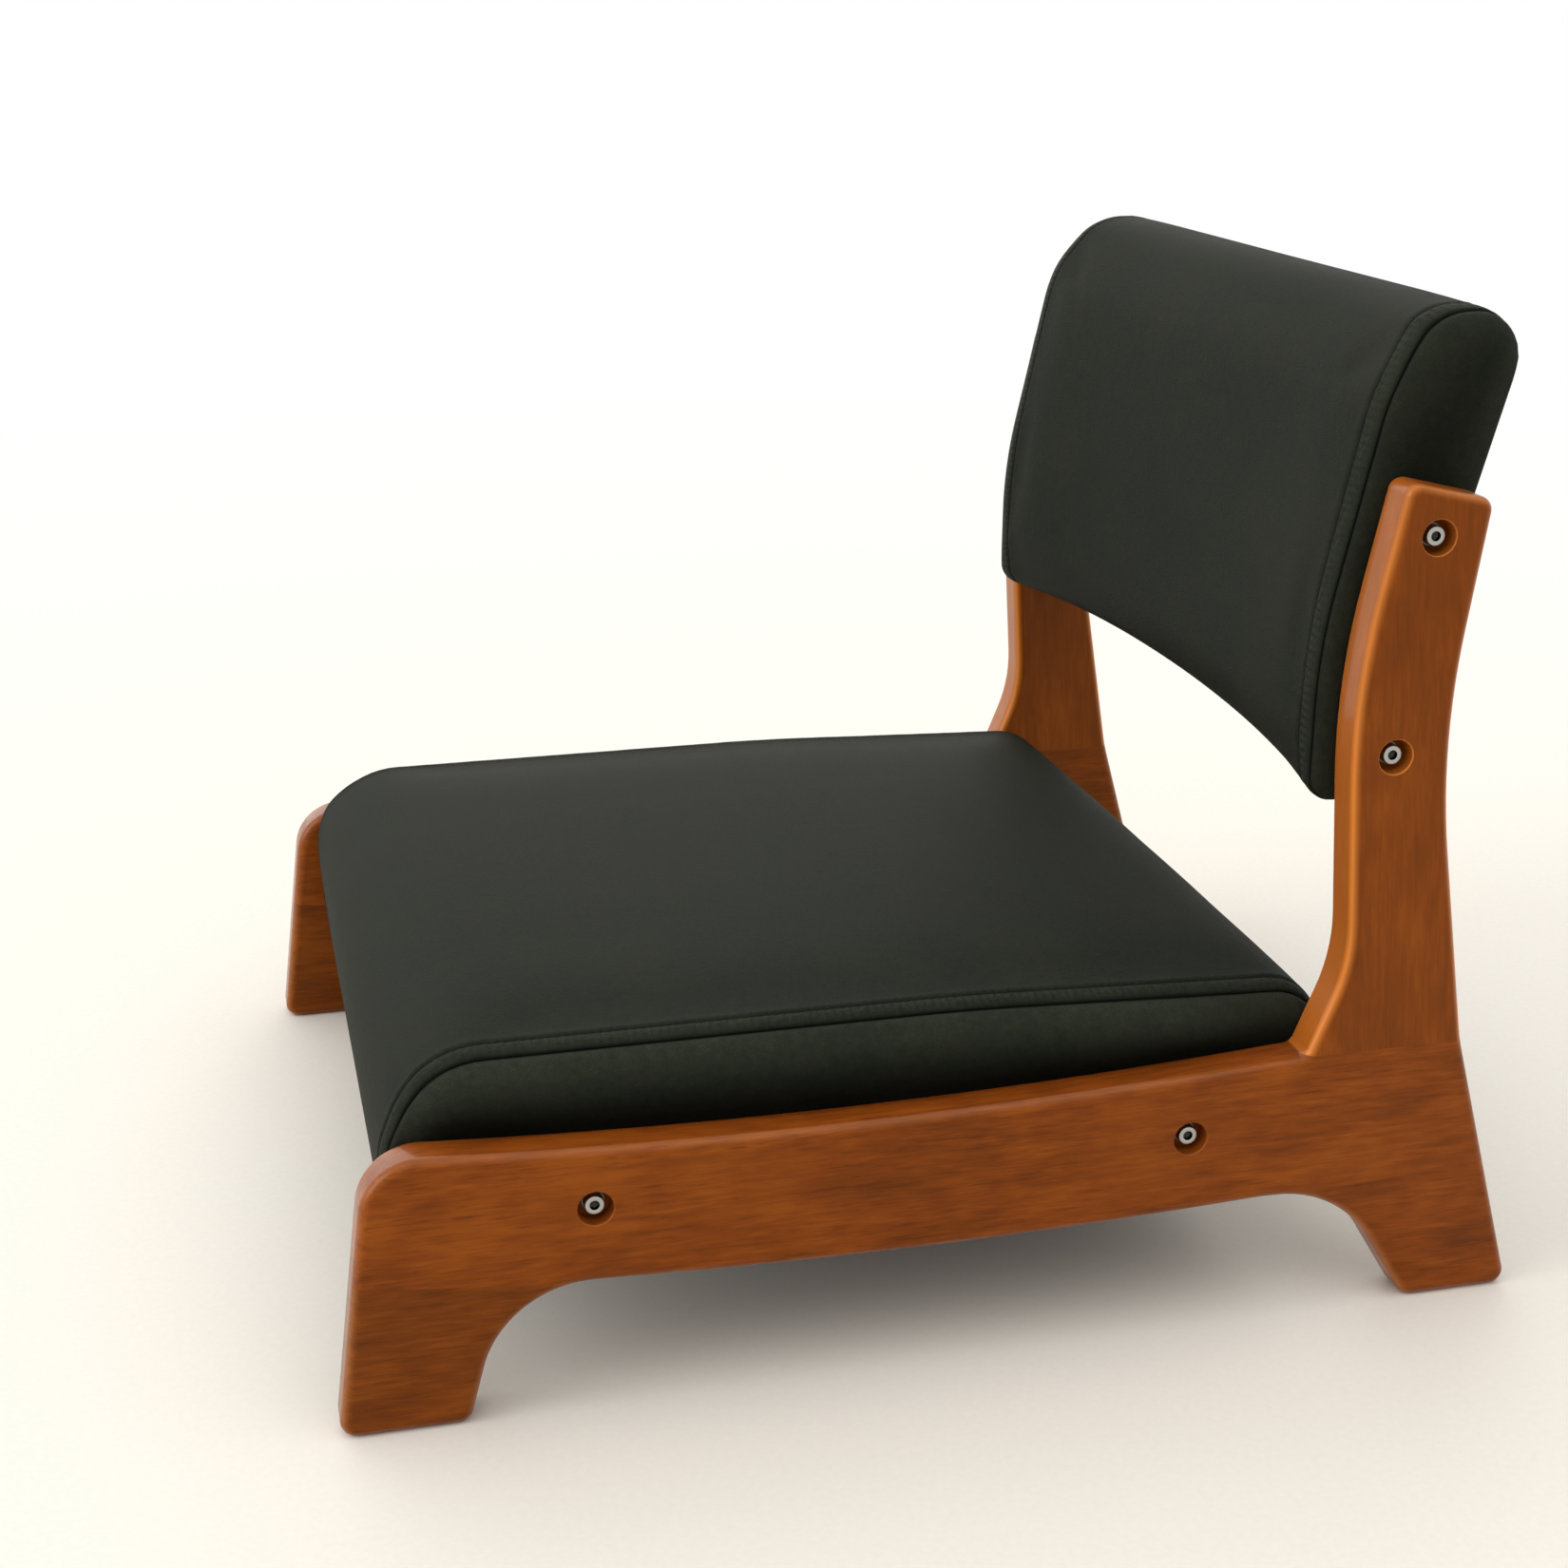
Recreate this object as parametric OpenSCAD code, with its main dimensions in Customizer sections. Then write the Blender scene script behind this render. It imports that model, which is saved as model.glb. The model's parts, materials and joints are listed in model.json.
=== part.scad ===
// Low floor chair for sitting on the ground: two solid wood side frames carry a box
// cushioned seat and a padded back, each held by two socket head bolts a side.
// Millimetres. Z is up, the sitter faces -Y, X = 0 is the middle of the chair and
// Y = 0 lies halfway between toe and heel of the side frames.

/* [Overall] */
// Clear width between the two side frames
seat_w = 416; // [380:4:480]
// Depth of a side frame from toe to heel, at the floor
frame_d = 530; // [510:2:580]

/* [Side frame boards] */
// Thickness of the side frame boards
board_t = 22; // [20:1:28]
// Radius of the roundover along every edge of a side frame
edge_r = 5; // [3:0.5:6]
// Height of the rail's front corner, before it is rounded
rail_h = 124.6; // [118:0.5:132]
// Height of the rail where the upright stands on it
rail_rear_h = 125.6; // [120:0.5:132]
// Sag of the rail's top edge at the middle of its length
rail_dip = 6.4; // [2:0.2:9]
// Height of the arch under the rail, next to the feet
arch_h = 60.5; // [50:0.5:64]
// Sag of the rail's lower edge at the middle of the arch
arch_dip = 4; // [1:0.2:7]
// Radius of the rail's front top corner
nose_r = 26; // [14:1:32]
// Lean of the front edge, in degrees from upright
front_rake = 7.4; // [2:0.2:10]

/* [Feet] */
// Width of the front foot on the floor
toe_w = 54.5; // [46:0.5:64]
// Width of the rear foot on the floor
heel_w = 52; // [44:0.5:60]
// Lean of the heel edge, in degrees from upright
heel_rake = 15.3; // [10:0.2:17]
// Lean of the front foot's inner edge, in degrees from upright
toe_back_rake = 15; // [8:0.5:20]
// Lean of the rear foot's inner edge, in degrees from upright
heel_front_rake = 31.2; // [24:0.2:34]
// Radius of the hollow between front foot and rail
toe_arch_r = 47; // [30:1:54]
// Radius of the hollow between rear foot and rail
heel_arch_r = 70; // [40:1:76]
// Radius of the corners of the feet on the floor
foot_corner_r = 6.5; // [6.5:0.5:9]

/* [Upright] */
// Height of the upright's front top corner
upright_h = 376.6; // [366:1:396]
// Distance from the heel forward to the upright's front edge, where it meets the rail
upright_root = 108.5; // [102:0.5:114]
// Distance from the heel forward to the front edge at its knee
upright_knee = 91.5; // [88:0.5:96]
// Height of that knee
knee_h = 167; // [160:1:176]
// Distance from the heel forward to the front edge at its waist
upright_waist = 98.9; // [95:0.5:104]
// Height of the waist, where the upright bends back
waist_h = 289.5; // [280:1:298]
// Distance from the heel forward to the front top corner
upright_top = 80.6; // [74:0.5:86]
// Width of the upright's top edge
upright_top_w = 40.2; // [38:0.5:46]
// Slope of the top edge, in degrees
top_slope = 13.7; // [6:0.5:18]
// Distance from the heel forward to the rear edge, at its deepest hollow before rounding
rear_hollow = 56.1; // [52:0.5:60]
// Height of that hollow
rear_hollow_h = 264; // [250:1:280]

/* [Bolts] */
// Diameter of the bolt shank
bolt_d = 5; // [4:1:6]
// Length of the bolt under its head
bolt_len = 30; // [28:1:34]
// Diameter of the bolt head
bolt_head_d = 8.5; // [8:0.5:10]
// Height of the bolt head
bolt_head_h = 5; // [4:0.5:6]
// Width across the flats of the hexagon socket
socket_af = 4; // [3:0.5:5]
// Diameter of the counterbore
counterbore_d = 15; // [14:0.5:17]
// Depth of the counterbore
counterbore_depth = 9; // [7:0.5:10]
// Diameter of the washer
washer_d = 10; // [9.5:0.5:12]
// Thickness of the washer
washer_t = 1; // [0.8:0.1:1.6]
// Outer diameter of the threaded inserts
insert_d = 8; // [8:0.5:10]
// Length of the threaded inserts
insert_len = 15; // [12:1:16]
// Distance of the front seat bolts from the toe
seat_bolt_front = 109; // [90:1:140]
// Distance of the rear seat bolts from the heel
seat_bolt_rear = 161; // [140:1:200]
// Height of the lower back bolts
back_bolt_low = 260; // [256:1:270]
// Height of the upper back bolts
back_bolt_high = 353; // [344:1:356]
// Distance of the back bolts behind the upright's front edge
back_bolt_set = 19; // [17:0.5:21]

/* [Seat pad] */
// Distance of the pad's front face behind the toe
seat_front = 26; // [24:0.5:36]
// Distance of the pad's rear face in front of the heel
seat_rear = 88.5; // [82:0.5:96]
// Height of the pad's underside
seat_under = 72; // [68:0.5:76]
// Height of the pad's side seam over the front half
seat_seam_h = 150.2; // [148:0.2:160]
// Fall of the side seam towards the rear
seat_seam_fall = 6.8; // [0:0.2:9]
// Rise of the top panel from the side seams to the middle
seat_crown = 8; // [2:0.5:12]
// Radius of the waterfall front edge
seat_front_r = 44; // [30:1:52]
// Radius of the rear top edge
seat_rear_r = 22; // [12:1:28]
// How far the side seams lie inside the side frames
seat_seam_inset = 12; // [6:0.5:14]
// How far the side panels swell out above the rails
seat_bulge = 8; // [2:0.5:9]
// Height of the wooden seat frame's battens
batten_h = 40; // [34:1:42]
// Thickness of the battens
batten_t = 20; // [18:1:24]
// Thickness of the plywood seat panel
seat_panel_t = 9; // [6:1:12]

/* [Back pad] */
// Height of the pad's lower edge
back_under = 233; // [228:0.5:238]
// Height of the pad's top at the side seams
back_top = 440.4; // [430:0.2:460]
// Distance of the pad's front face before the bolt line, at the lumbar bend
back_front_set = 30; // [26:0.5:34]
// Thickness of the pad above the bend
back_pad_t = 55; // [50:0.5:60]
// Height over which the front face leans over towards the top
back_shoulder = 28; // [22:1:32]
// Hollow of the pad across the chair, from the side seams to the middle
back_hollow = 18; // [8:1:24]
// The same hollow at the top of the pad
back_hollow_top = 3; // [0:1:18]
// How far the side seams are drawn in at the top
back_top_pull = 7; // [0:0.5:9]
// Swell of the front and rear panel between the seams
back_crown = 4; // [1:0.5:7]
// Radius of the front top edge
back_top_front_r = 35; // [20:1:36]
// Radius of the rear top edge
back_top_rear_r = 18; // [12:1:19]
// Thickness of the wooden back frame
back_frame_t = 20; // [16:1:22]
// Width of the side battens, and height of the cross rails, in the back
back_batten_w = 28; // [24:1:34]
// Thickness of the bent plywood facing
back_panel_t = 4; // [3:0.5:5]

/* [Cover] */
// Thickness of the cover fabric with its backing
cover_t = 1.2; // [1:0.1:2]
// Clearance between a soft piece and its neighbour
pad_gap = 0.3; // [0.2:0.05:0.5]

/* [Hidden] */
$fn = 48;

wood = "#9a4a1c";
pine = "#d9b98a";
ply = "#c9a26c";
fabric = "#2b2d2a";
foam_colour = "#e9dfae";
zinc = "#c9ccce";
felt = "#1c1c1c";

// Angle between neighbouring points of a rounded corner, on boards and on pads
board_step = 10;
pad_step = 15;
// Longest straight or gently curved stretch between points, on boards and on pads
board_span = 26;
pad_span = 46;
// Facets in a quarter of the edge roundover
edge_facets = 4;
// Columns of facets across a cover panel
seat_columns = 10;
back_columns = 10;
// Radial play of a dowel, bolt or insert in its hole
hole_play = 0.05;
bolt_hole_d = bolt_d + 0.5;

toe_y = -frame_d / 2;
heel_y = frame_d / 2;
inner_x = seat_w / 2;
outer_x = inner_x + board_t;
skin_x = inner_x - pad_gap;
core_x = skin_x - cover_t;

// Smooth step from 0 to 1
function ease(t) = let (c = min(1, max(0, t))) c * c * (3 - 2 * c);
// Y on the line through two [y, z] points at height z
function on_line(a, b, z) = a[0] + (b[0] - a[0]) * (z - a[1]) / (b[1] - a[1]);
function unit(v) = v / norm(v);
// Signed turn, in degrees, at corner b between a and c; positive turns left
function turn(a, b, c) =
    let (d = unit(b - a), e = unit(c - b))
    atan2(d[0] * e[1] - d[1] * e[0], d * e);
// Radius of corner b, held to one that takes no more than a share of its shorter edge
function fit_radius(a, b, c, r, share = 0.48) =
    min(r, share * min(norm(b - a), norm(c - b)) / tan(max(0.5, abs(turn(a, b, c))) / 2));
// Radius of a very gentle corner whose curve fills share f of its shorter edge
function soft_radius(a, b, c, f) =
    f * min(norm(b - a), norm(c - b)) / tan(max(0.5, abs(turn(a, b, c))) / 2);
// Centre of the rounding at corner b
function round_centre(a, b, c, r) =
    let (d = unit(b - a), t = turn(a, b, c), s = sign(t))
    b - d * r * tan(abs(t) / 2) - s * r * [d[1], -d[0]];
// A rounded corner, as [point, outward normal] pairs; the outline runs anticlockwise
function rounded_corner(a, b, c, r, step, span) =
    let (
        t = turn(a, b, c),
        s = sign(t),
        d = unit(b - a),
        n0 = atan2(-d[0], d[1]),
        m = round_centre(a, b, c, r),
        k = max(1, ceil(abs(t) / step), ceil(r * abs(t) * PI / 180 / span))
    )
    [for (i = [0:k]) let (n = [cos(n0 + t * i / k), sin(n0 + t * i / k)]) [m + s * r * n, n]];
// Closed outline from corners of the form [y, z, radius]
function rounded_outline(corners, step, span) =
    let (n = len(corners))
    [for (i = [0:n - 1])
        let (a = corners[(i + n - 1) % n], b = corners[i], c = corners[(i + 1) % n])
        each rounded_corner([a[0], a[1]], [b[0], b[1]], [c[0], c[1]], b[2], step, span)];
// Points added inside the long stretches of an outline, with the normals blended
function with_spans(path, span) =
    [for (i = [0:len(path) - 1])
        let (p = path[i], q = path[min(i + 1, len(path) - 1)],
             k = max(1, ceil(norm(q[0] - p[0]) / span)))
        for (j = [0:k - 1]) [p[0] + (q[0] - p[0]) * j / k, unit(p[1] + (q[1] - p[1]) * j / k)]];

// Solid through a list of rings with equal numbers of points, closed by its end rings
module loft(rings) {
    n = len(rings[0]);
    last = len(rings) - 1;
    points = [for (ring = rings) each ring];
    sides = [for (k = [0:last - 1]) for (i = [0:n - 1]) let (j = (i + 1) % n)
        each [[k * n + i, k * n + j, (k + 1) * n + j], [k * n + i, (k + 1) * n + j, (k + 1) * n + i]]];
    polyhedron(points, concat([[for (i = [n - 1:-1:0]) i]], sides, [[for (i = [0:n - 1]) last * n + i]]));
}

// Thin solid between two matching grids of points; a wrapped grid closes on itself
module sheet_solid(outer, inner, wrapped = false) {
    rows = len(outer);
    cols = len(outer[0]);
    count = rows * cols;
    row_steps = wrapped ? rows - 1 : rows - 2;
    points = [for (grid = [outer, inner]) for (row = grid) each row];
    skins = [for (side = [0, 1]) for (i = [0:row_steps]) for (j = [0:cols - 2])
        let (a = side * count + i * cols + j, b = side * count + ((i + 1) % rows) * cols + j)
        each side == 0 ? [[a, b, b + 1], [a, b + 1, a + 1]] : [[a, b + 1, b], [a, a + 1, b + 1]]];
    side_rims = [for (i = [0:row_steps]) let (a = i * cols, b = ((i + 1) % rows) * cols, e = cols - 1)
        each [[a, count + a, count + b], [a, count + b, b],
              [a + e, b + e, count + b + e], [a + e, count + b + e, count + a + e]]];
    end_rims = wrapped ? [] : [for (j = [0:cols - 2]) let (a = j, b = (rows - 1) * cols + j)
        each [[a, a + 1, count + a + 1], [a, count + a + 1, count + a],
              [b, count + b, count + b + 1], [b, count + b + 1, b + 1]]];
    polyhedron(points, concat(skins, side_rims, end_rims));
}

// The same piece on the sitter's left, +X, or mirrored to the right
module on_side(left) {
    mirror([left ? 0 : 1, 0, 0]) children();
}

// Side frame outline: the corners run round the board in the Y-Z plane
front_top = [toe_y + rail_h * tan(front_rake), rail_h];
root = [heel_y - upright_root, rail_rear_h];
dip = [(front_top[0] + root[0]) / 2, (rail_h + rail_rear_h) / 2 - 2 * rail_dip];
knee = [heel_y - upright_knee, knee_h];
waist = [heel_y - upright_waist, waist_h];
top_front = [heel_y - upright_top, upright_h];
top_rear = top_front + upright_top_w * [cos(top_slope), -sin(top_slope)];
hollow = [heel_y - rear_hollow, rear_hollow_h];
heel = [heel_y, 0];
heel_joint_h = rail_rear_h;
heel_joint = [heel_y - heel_joint_h * tan(heel_rake), heel_joint_h];
heel_front = [heel_y - heel_w, 0];
heel_arch = [heel_front[0] - arch_h * tan(heel_front_rake), arch_h];
toe_back = [toe_y + toe_w, 0];
toe_arch = [toe_back[0] + arch_h * tan(toe_back_rake), arch_h];
arch_mid = [(toe_arch[0] + heel_arch[0]) / 2, arch_h - 2 * arch_dip];
toe = [toe_y, 0];
top_corner_r = edge_r + 1;
inner_corner_r = 5;
dip_r = soft_radius(front_top, dip, root, 0.84);
arch_mid_r = soft_radius(toe_arch, arch_mid, heel_arch, 0.7);
knee_r = 80;
waist_r = 370;
hollow_r = 560;
heel_joint_r = 80;
foot_r = max(foot_corner_r, edge_r + 1);

frame_corners = [
    [toe[0], toe[1], foot_r],
    [toe_back[0], toe_back[1], foot_r],
    [toe_arch[0], toe_arch[1], toe_arch_r],
    [arch_mid[0], arch_mid[1], arch_mid_r],
    [heel_arch[0], heel_arch[1], fit_radius(arch_mid, heel_arch, heel_front, heel_arch_r)],
    [heel_front[0], heel_front[1], foot_r],
    [heel[0], heel[1], foot_r],
    [heel_joint[0], heel_joint[1], fit_radius(heel, heel_joint, hollow, heel_joint_r)],
    [hollow[0], hollow[1], fit_radius(heel_joint, hollow, top_rear, hollow_r)],
    [top_rear[0], top_rear[1], top_corner_r],
    [top_front[0], top_front[1], top_corner_r],
    [waist[0], waist[1], fit_radius(top_front, waist, knee, waist_r)],
    [knee[0], knee[1], fit_radius(waist, knee, root, knee_r)],
    [root[0], root[1], inner_corner_r],
    [dip[0], dip[1], dip_r],
    [front_top[0], front_top[1], nose_r]
];
frame_outline = rounded_outline(frame_corners, board_step, board_span);

// Height of the rail's top edge at y
dip_centre = round_centre(root, dip, front_top, dip_r);
function rail_top(y) = dip_centre[1] - sqrt(dip_r * dip_r - (y - dip_centre[0]) * (y - dip_centre[0]));

// Glue lines: the upright stands on the rail, and the feet are blocks glued under it
front_glue_h = 70;
rear_glue_h = 66;
front_block_reach = 42;
rear_block_reach = 38;
front_glue_drop = 2;
rear_glue_drop = 1.5;
front_glue_end = [toe_arch[0] + front_block_reach, arch_h - front_glue_drop];
rear_glue_end = [heel_arch[0] - rear_block_reach, arch_h - rear_glue_drop];
front_glue_start = [toe_y, front_glue_h];
rear_glue_start = [heel_y, rear_glue_h];
upright_glue_h = rail_rear_h + 0.4;

function glue_z(y, a, b) = a[1] + (b[1] - a[1]) * (y - a[0]) / (b[0] - a[0]);
function front_glue(y) = glue_z(y, front_glue_start, front_glue_end);
function rear_glue(y) = glue_z(y, rear_glue_start, rear_glue_end);
function in_front_foot(p) = p[0] < arch_mid[0] && p[1] < front_glue(p[0]);
function in_rear_foot(p) = p[0] > arch_mid[0] && p[1] < rear_glue(p[0]);
function in_upright(p) = p[0] > root[0] - inner_corner_r && p[1] > upright_glue_h;

// Rings of the whole side frame, from its inner face to its outer face
round_layers = [for (k = [0:edge_facets]) let (a = 90 * k / edge_facets) [edge_r * (1 - cos(a)), edge_r * (1 - sin(a))]];
board_layers = concat(round_layers,
    [for (k = [edge_facets:-1:0]) [board_t - round_layers[k][0], round_layers[k][1]]]);
board_rings = [for (layer = board_layers) [for (p = frame_outline) p[0] - layer[1] * p[1]]];
ring_size = len(frame_outline);

// Places where the outline passes a glue line. They are counted along the outline in
// point numbers with a fraction, one for every ring, after the whole points around them
function glue_height(part, y) = part == 0 ? front_glue(y) : part == 1 ? rear_glue(y) : upright_glue_h;
function inside(part, p) = part == 0 ? in_front_foot(p) : part == 1 ? in_rear_foot(p) : in_upright(p);
function passes(part, ring, entering) =
    [for (i = [0:ring_size - 1])
        if (inside(part, ring[i]) != entering && inside(part, ring[(i + 1) % ring_size]) == entering) i][0];
function fraction(part, a, b) =
    let (da = a[1] - glue_height(part, a[0]), db = b[1] - glue_height(part, b[0])) da / (da - db);
function crossing(part, entering) =
    let (at = [for (ring = board_rings) passes(part, ring, entering)],
         spots = [for (k = [0:len(at) - 1])
            at[k] + fraction(part, board_rings[k][at[k]], board_rings[k][(at[k] + 1) % ring_size])])
    [min(at), max(at) + 1, spots];

// Point of ring k at a fractional number
function ring_at(k, u) =
    let (i = floor(u), a = board_rings[k][i % ring_size], b = board_rings[k][(i + 1) % ring_size])
    a + (b - a) * (u - i);
// Points from one glue line to the next; near each line they close up evenly on it
function stretch(from, to, k) =
    let (lap = to[0] < from[0] ? ring_size : 0,
         u0 = from[2][k], first = from[1], steps0 = max(1, ceil((from[1] - from[0]) / 2)),
         u1 = to[2][k] + lap, last = to[0] + lap, steps1 = max(1, ceil((to[1] - to[0]) / 2)))
    concat([for (t = [0:steps0]) ring_at(k, u0 + (first - u0) * t / steps0)],
        [for (i = [first + 1:1:last - 1]) board_rings[k][i % ring_size]],
        [for (t = [(first == last ? 1 : 0):steps1]) ring_at(k, last + (u1 - last) * t / steps1)]);

front_foot_in = crossing(0, true);
front_foot_out = crossing(0, false);
rear_foot_in = crossing(1, true);
rear_foot_out = crossing(1, false);
upright_in = crossing(2, true);
upright_out = crossing(2, false);

module board_piece(rings) {
    loft([for (k = [0:len(rings) - 1]) [for (q = rings[k]) [inner_x + board_layers[k][0], q[0], q[1]]]]);
}

layer_numbers = [0:len(board_layers) - 1];

module front_foot_blank() {
    board_piece([for (k = layer_numbers) stretch(front_foot_in, front_foot_out, k)]);
}

module rear_foot_blank() {
    board_piece([for (k = layer_numbers) stretch(rear_foot_in, rear_foot_out, k)]);
}

module upright_blank() {
    board_piece([for (k = layer_numbers) stretch(upright_in, upright_out, k)]);
}

module rail_blank() {
    board_piece([for (k = layer_numbers) concat(
        stretch(front_foot_out, rear_foot_in, k),
        stretch(rear_foot_out, upright_in, k),
        stretch(upright_out, front_foot_in, k))]);
}

// Bolt positions, as [y, z]
seat_bolt_z = seat_under + cover_t + batten_h / 2;
seat_bolt_points = [[toe_y + seat_bolt_front, seat_bolt_z], [heel_y - seat_bolt_rear, seat_bolt_z]];
back_bolt_points = [
    [on_line(knee, waist, back_bolt_low) + back_bolt_set, back_bolt_low],
    [on_line(waist, top_front, back_bolt_high) + back_bolt_set, back_bolt_high]
];
back_tilt = atan2(back_bolt_points[1][0] - back_bolt_points[0][0], back_bolt_points[1][1] - back_bolt_points[0][1]);

module at_bolts(points) {
    for (p = points) translate([0, p[0], p[1]]) children();
}

// Counterbore with an eased mouth, and the bolt's clearance hole
mouth_ease = 0.6;
module bolt_pocket() {
    seat_of_head = outer_x - counterbore_depth;
    translate([seat_of_head, 0, 0]) rotate([0, 90, 0]) cylinder(d = counterbore_d, h = counterbore_depth + 1);
    translate([outer_x - mouth_ease, 0, 0]) rotate([0, 90, 0])
        cylinder(d1 = counterbore_d, d2 = counterbore_d + 4 * mouth_ease, h = 2 * mouth_ease);
    translate([inner_x - 1, 0, 0]) rotate([0, 90, 0]) cylinder(d = bolt_hole_d, h = board_t);
}

// Dowels: three join the upright to the rail, two hold each foot block
dowel_d = 8;
dowel_len = 44;
foot_dowel_len = 30;
board_mid_x = inner_x + board_t / 2;
upright_root_w = heel_joint[0] - root[0];
upright_dowels = [for (share = [0.24, 0.5, 0.76]) [root[0] + share * upright_root_w, upright_glue_h]];
front_foot_dowels = [for (share = [0.44, 0.92]) let (y = toe_y + share * toe_w) [y, front_glue(y)]];
rear_foot_dowels = [for (share = [0.65, 1.15]) let (y = heel_y - share * heel_w) [y, rear_glue(y)]];

module dowel_pins(points, length, play = 0) {
    for (p = points) translate([board_mid_x, p[0], p[1] - length / 2 - play])
        cylinder(d = dowel_d + 2 * play, h = length + 2 * play);
}

module rail(left) {
    color(wood) on_side(left) difference() {
        rail_blank();
        at_bolts(seat_bolt_points) bolt_pocket();
        dowel_pins(upright_dowels, dowel_len, hole_play);
        dowel_pins(concat(front_foot_dowels, rear_foot_dowels), foot_dowel_len, hole_play);
    }
}

module front_foot(left) {
    color(wood) on_side(left) difference() {
        front_foot_blank();
        dowel_pins(front_foot_dowels, foot_dowel_len, hole_play);
    }
}

module rear_foot(left) {
    color(wood) on_side(left) difference() {
        rear_foot_blank();
        dowel_pins(rear_foot_dowels, foot_dowel_len, hole_play);
    }
}

module upright(left) {
    color(wood) on_side(left) difference() {
        upright_blank();
        at_bolts(back_bolt_points) bolt_pocket();
        dowel_pins(upright_dowels, dowel_len, hole_play);
    }
}

module frame_dowels(left) {
    color(pine) on_side(left) {
        dowel_pins(upright_dowels, dowel_len);
        dowel_pins(concat(front_foot_dowels, rear_foot_dowels), foot_dowel_len);
    }
}

// Seat pad: its side seam runs over this path, in the Y-Z plane
pad_front_y = toe_y + seat_front;
pad_rear_y = heel_y - seat_rear;
seam_break_y = pad_front_y + 0.61 * (pad_rear_y - pad_front_y);
seat_seam_corners = [
    [pad_rear_y, seat_under], [pad_rear_y, seat_seam_h - seat_seam_fall],
    [seam_break_y, seat_seam_h], [pad_front_y, seat_seam_h], [pad_front_y, seat_under]
];
seam_break_r = 1200;
seat_seam_radii = [0, seat_rear_r, seam_break_r, seat_front_r, 0];
seat_seam_path = with_spans(concat(
    [[seat_seam_corners[0], [1, 0]]],
    [for (i = [1:3]) let (a = seat_seam_corners[i - 1], b = seat_seam_corners[i], c = seat_seam_corners[i + 1])
        each rounded_corner(a, b, c, fit_radius(a, b, c, seat_seam_radii[i], 0.8), pad_step, pad_span)],
    [[seat_seam_corners[4], [-1, 0]]]), pad_span);
seat_seam_x = inner_x - seat_seam_inset;
// The side seam runs out to the frame's side where it goes down between the rails
seam_run_out = 26;
function seam_x(z) = seat_seam_x + (core_x - pad_gap - seat_seam_x) * ease((seat_seam_h - 2 - z) / seam_run_out);

// Swell of the top panel at a seam path point; the front and rear faces swell less
function seat_swell(p, x) =
    seat_crown * (0.25 + 0.75 * max(0, p[1][1])) * ease((p[0][1] - seat_under) / 40)
    * (1 - pow(min(1, abs(x) / seam_x(p[0][1])), 2.8));

function seat_skin(inset) =
    [for (p = seat_seam_path)
        [for (j = [0:seat_columns])
            let (x = seam_x(p[0][1]) * (2 * j / seat_columns - 1), q = p[0] + p[1] * (seat_swell(p, x) - inset))
            [x, q[0], max(q[1], seat_under)]]];

module seat_cover_top() {
    color(fabric) sheet_solid(seat_skin(0), seat_skin(cover_t));
}

// Height of the side seam at y
function seam_height(y) =
    let (last = len(seat_seam_path) - 1,
         hits = [for (i = [0:last - 1])
            let (a = seat_seam_path[i][0], b = seat_seam_path[i + 1][0])
            if (a[0] >= y && b[0] <= y && a[0] > b[0]) a[1] + (b[1] - a[1]) * (a[0] - y) / (a[0] - b[0])])
    max(concat(hits, [seat_under + batten_h]));
// Outer face of the side panel: flat against the rail, swelling out over it, and
// drawn in to the seam along its top edge
bulge_end_y = root[0] - 3;
turn_reach = 14;
function bulge_share(y) = ease((y - pad_front_y) / 50) * ease((bulge_end_y - y) / 45);
function side_low(y) = rail_top(min(y, root[0])) + pad_gap;
function side_skin_x(y, z) =
    let (low = side_low(y), high = seam_height(y), rise = high - low,
         h = rise > turn_reach ? min(1, max(0, (z - low) / rise)) : 0,
         ways = [(high - z) / max(turn_reach, rise), (y - pad_front_y) / turn_reach, (pad_rear_y - y) / turn_reach],
         g = min(1, max(0, 1 - min(ways))))
    skin_x + seat_bulge * bulge_share(y) * 4 * h * (1 - h) - (skin_x - seam_x(z) - cover_t - pad_gap) * g * g;

side_rows = 7;
side_y = [for (p = seat_seam_path) if (p[0][0] > pad_front_y + 2 && p[0][0] < pad_rear_y - 2) p[0][0]];
side_columns = concat([pad_rear_y - pad_gap], side_y, [pad_front_y + pad_gap]);
// Rows of the side panel: one along its foot, the rest from the rail up to the seam
function side_heights(y) =
    let (high = seam_height(y) - pad_gap, low = min(side_low(y) - 3, high - turn_reach))
    concat([seat_under], [for (k = [0:side_rows - 2]) low + (high - low) * k / (side_rows - 2)]);

function side_grid(inset) =
    [for (y = side_columns) [for (z = side_heights(y)) [side_skin_x(y, z) - inset, y, z]]];

// Bolt hole through a side panel
punch_len = 12;
module cover_punch() {
    translate([core_x - punch_len / 2, 0, 0]) rotate([0, 90, 0]) cylinder(d = bolt_hole_d, h = punch_len);
}

module seat_cover_side(left) {
    color(fabric) on_side(left) difference() {
        sheet_solid(side_grid(0), side_grid(cover_t));
        at_bolts(seat_bolt_points) cover_punch();
    }
}

// Wooden seat frame: side battens take the bolts, cross battens stand between them
frame_under = seat_under + cover_t;
panel_under = frame_under + batten_h;
foam_under = panel_under + seat_panel_t;
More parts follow.
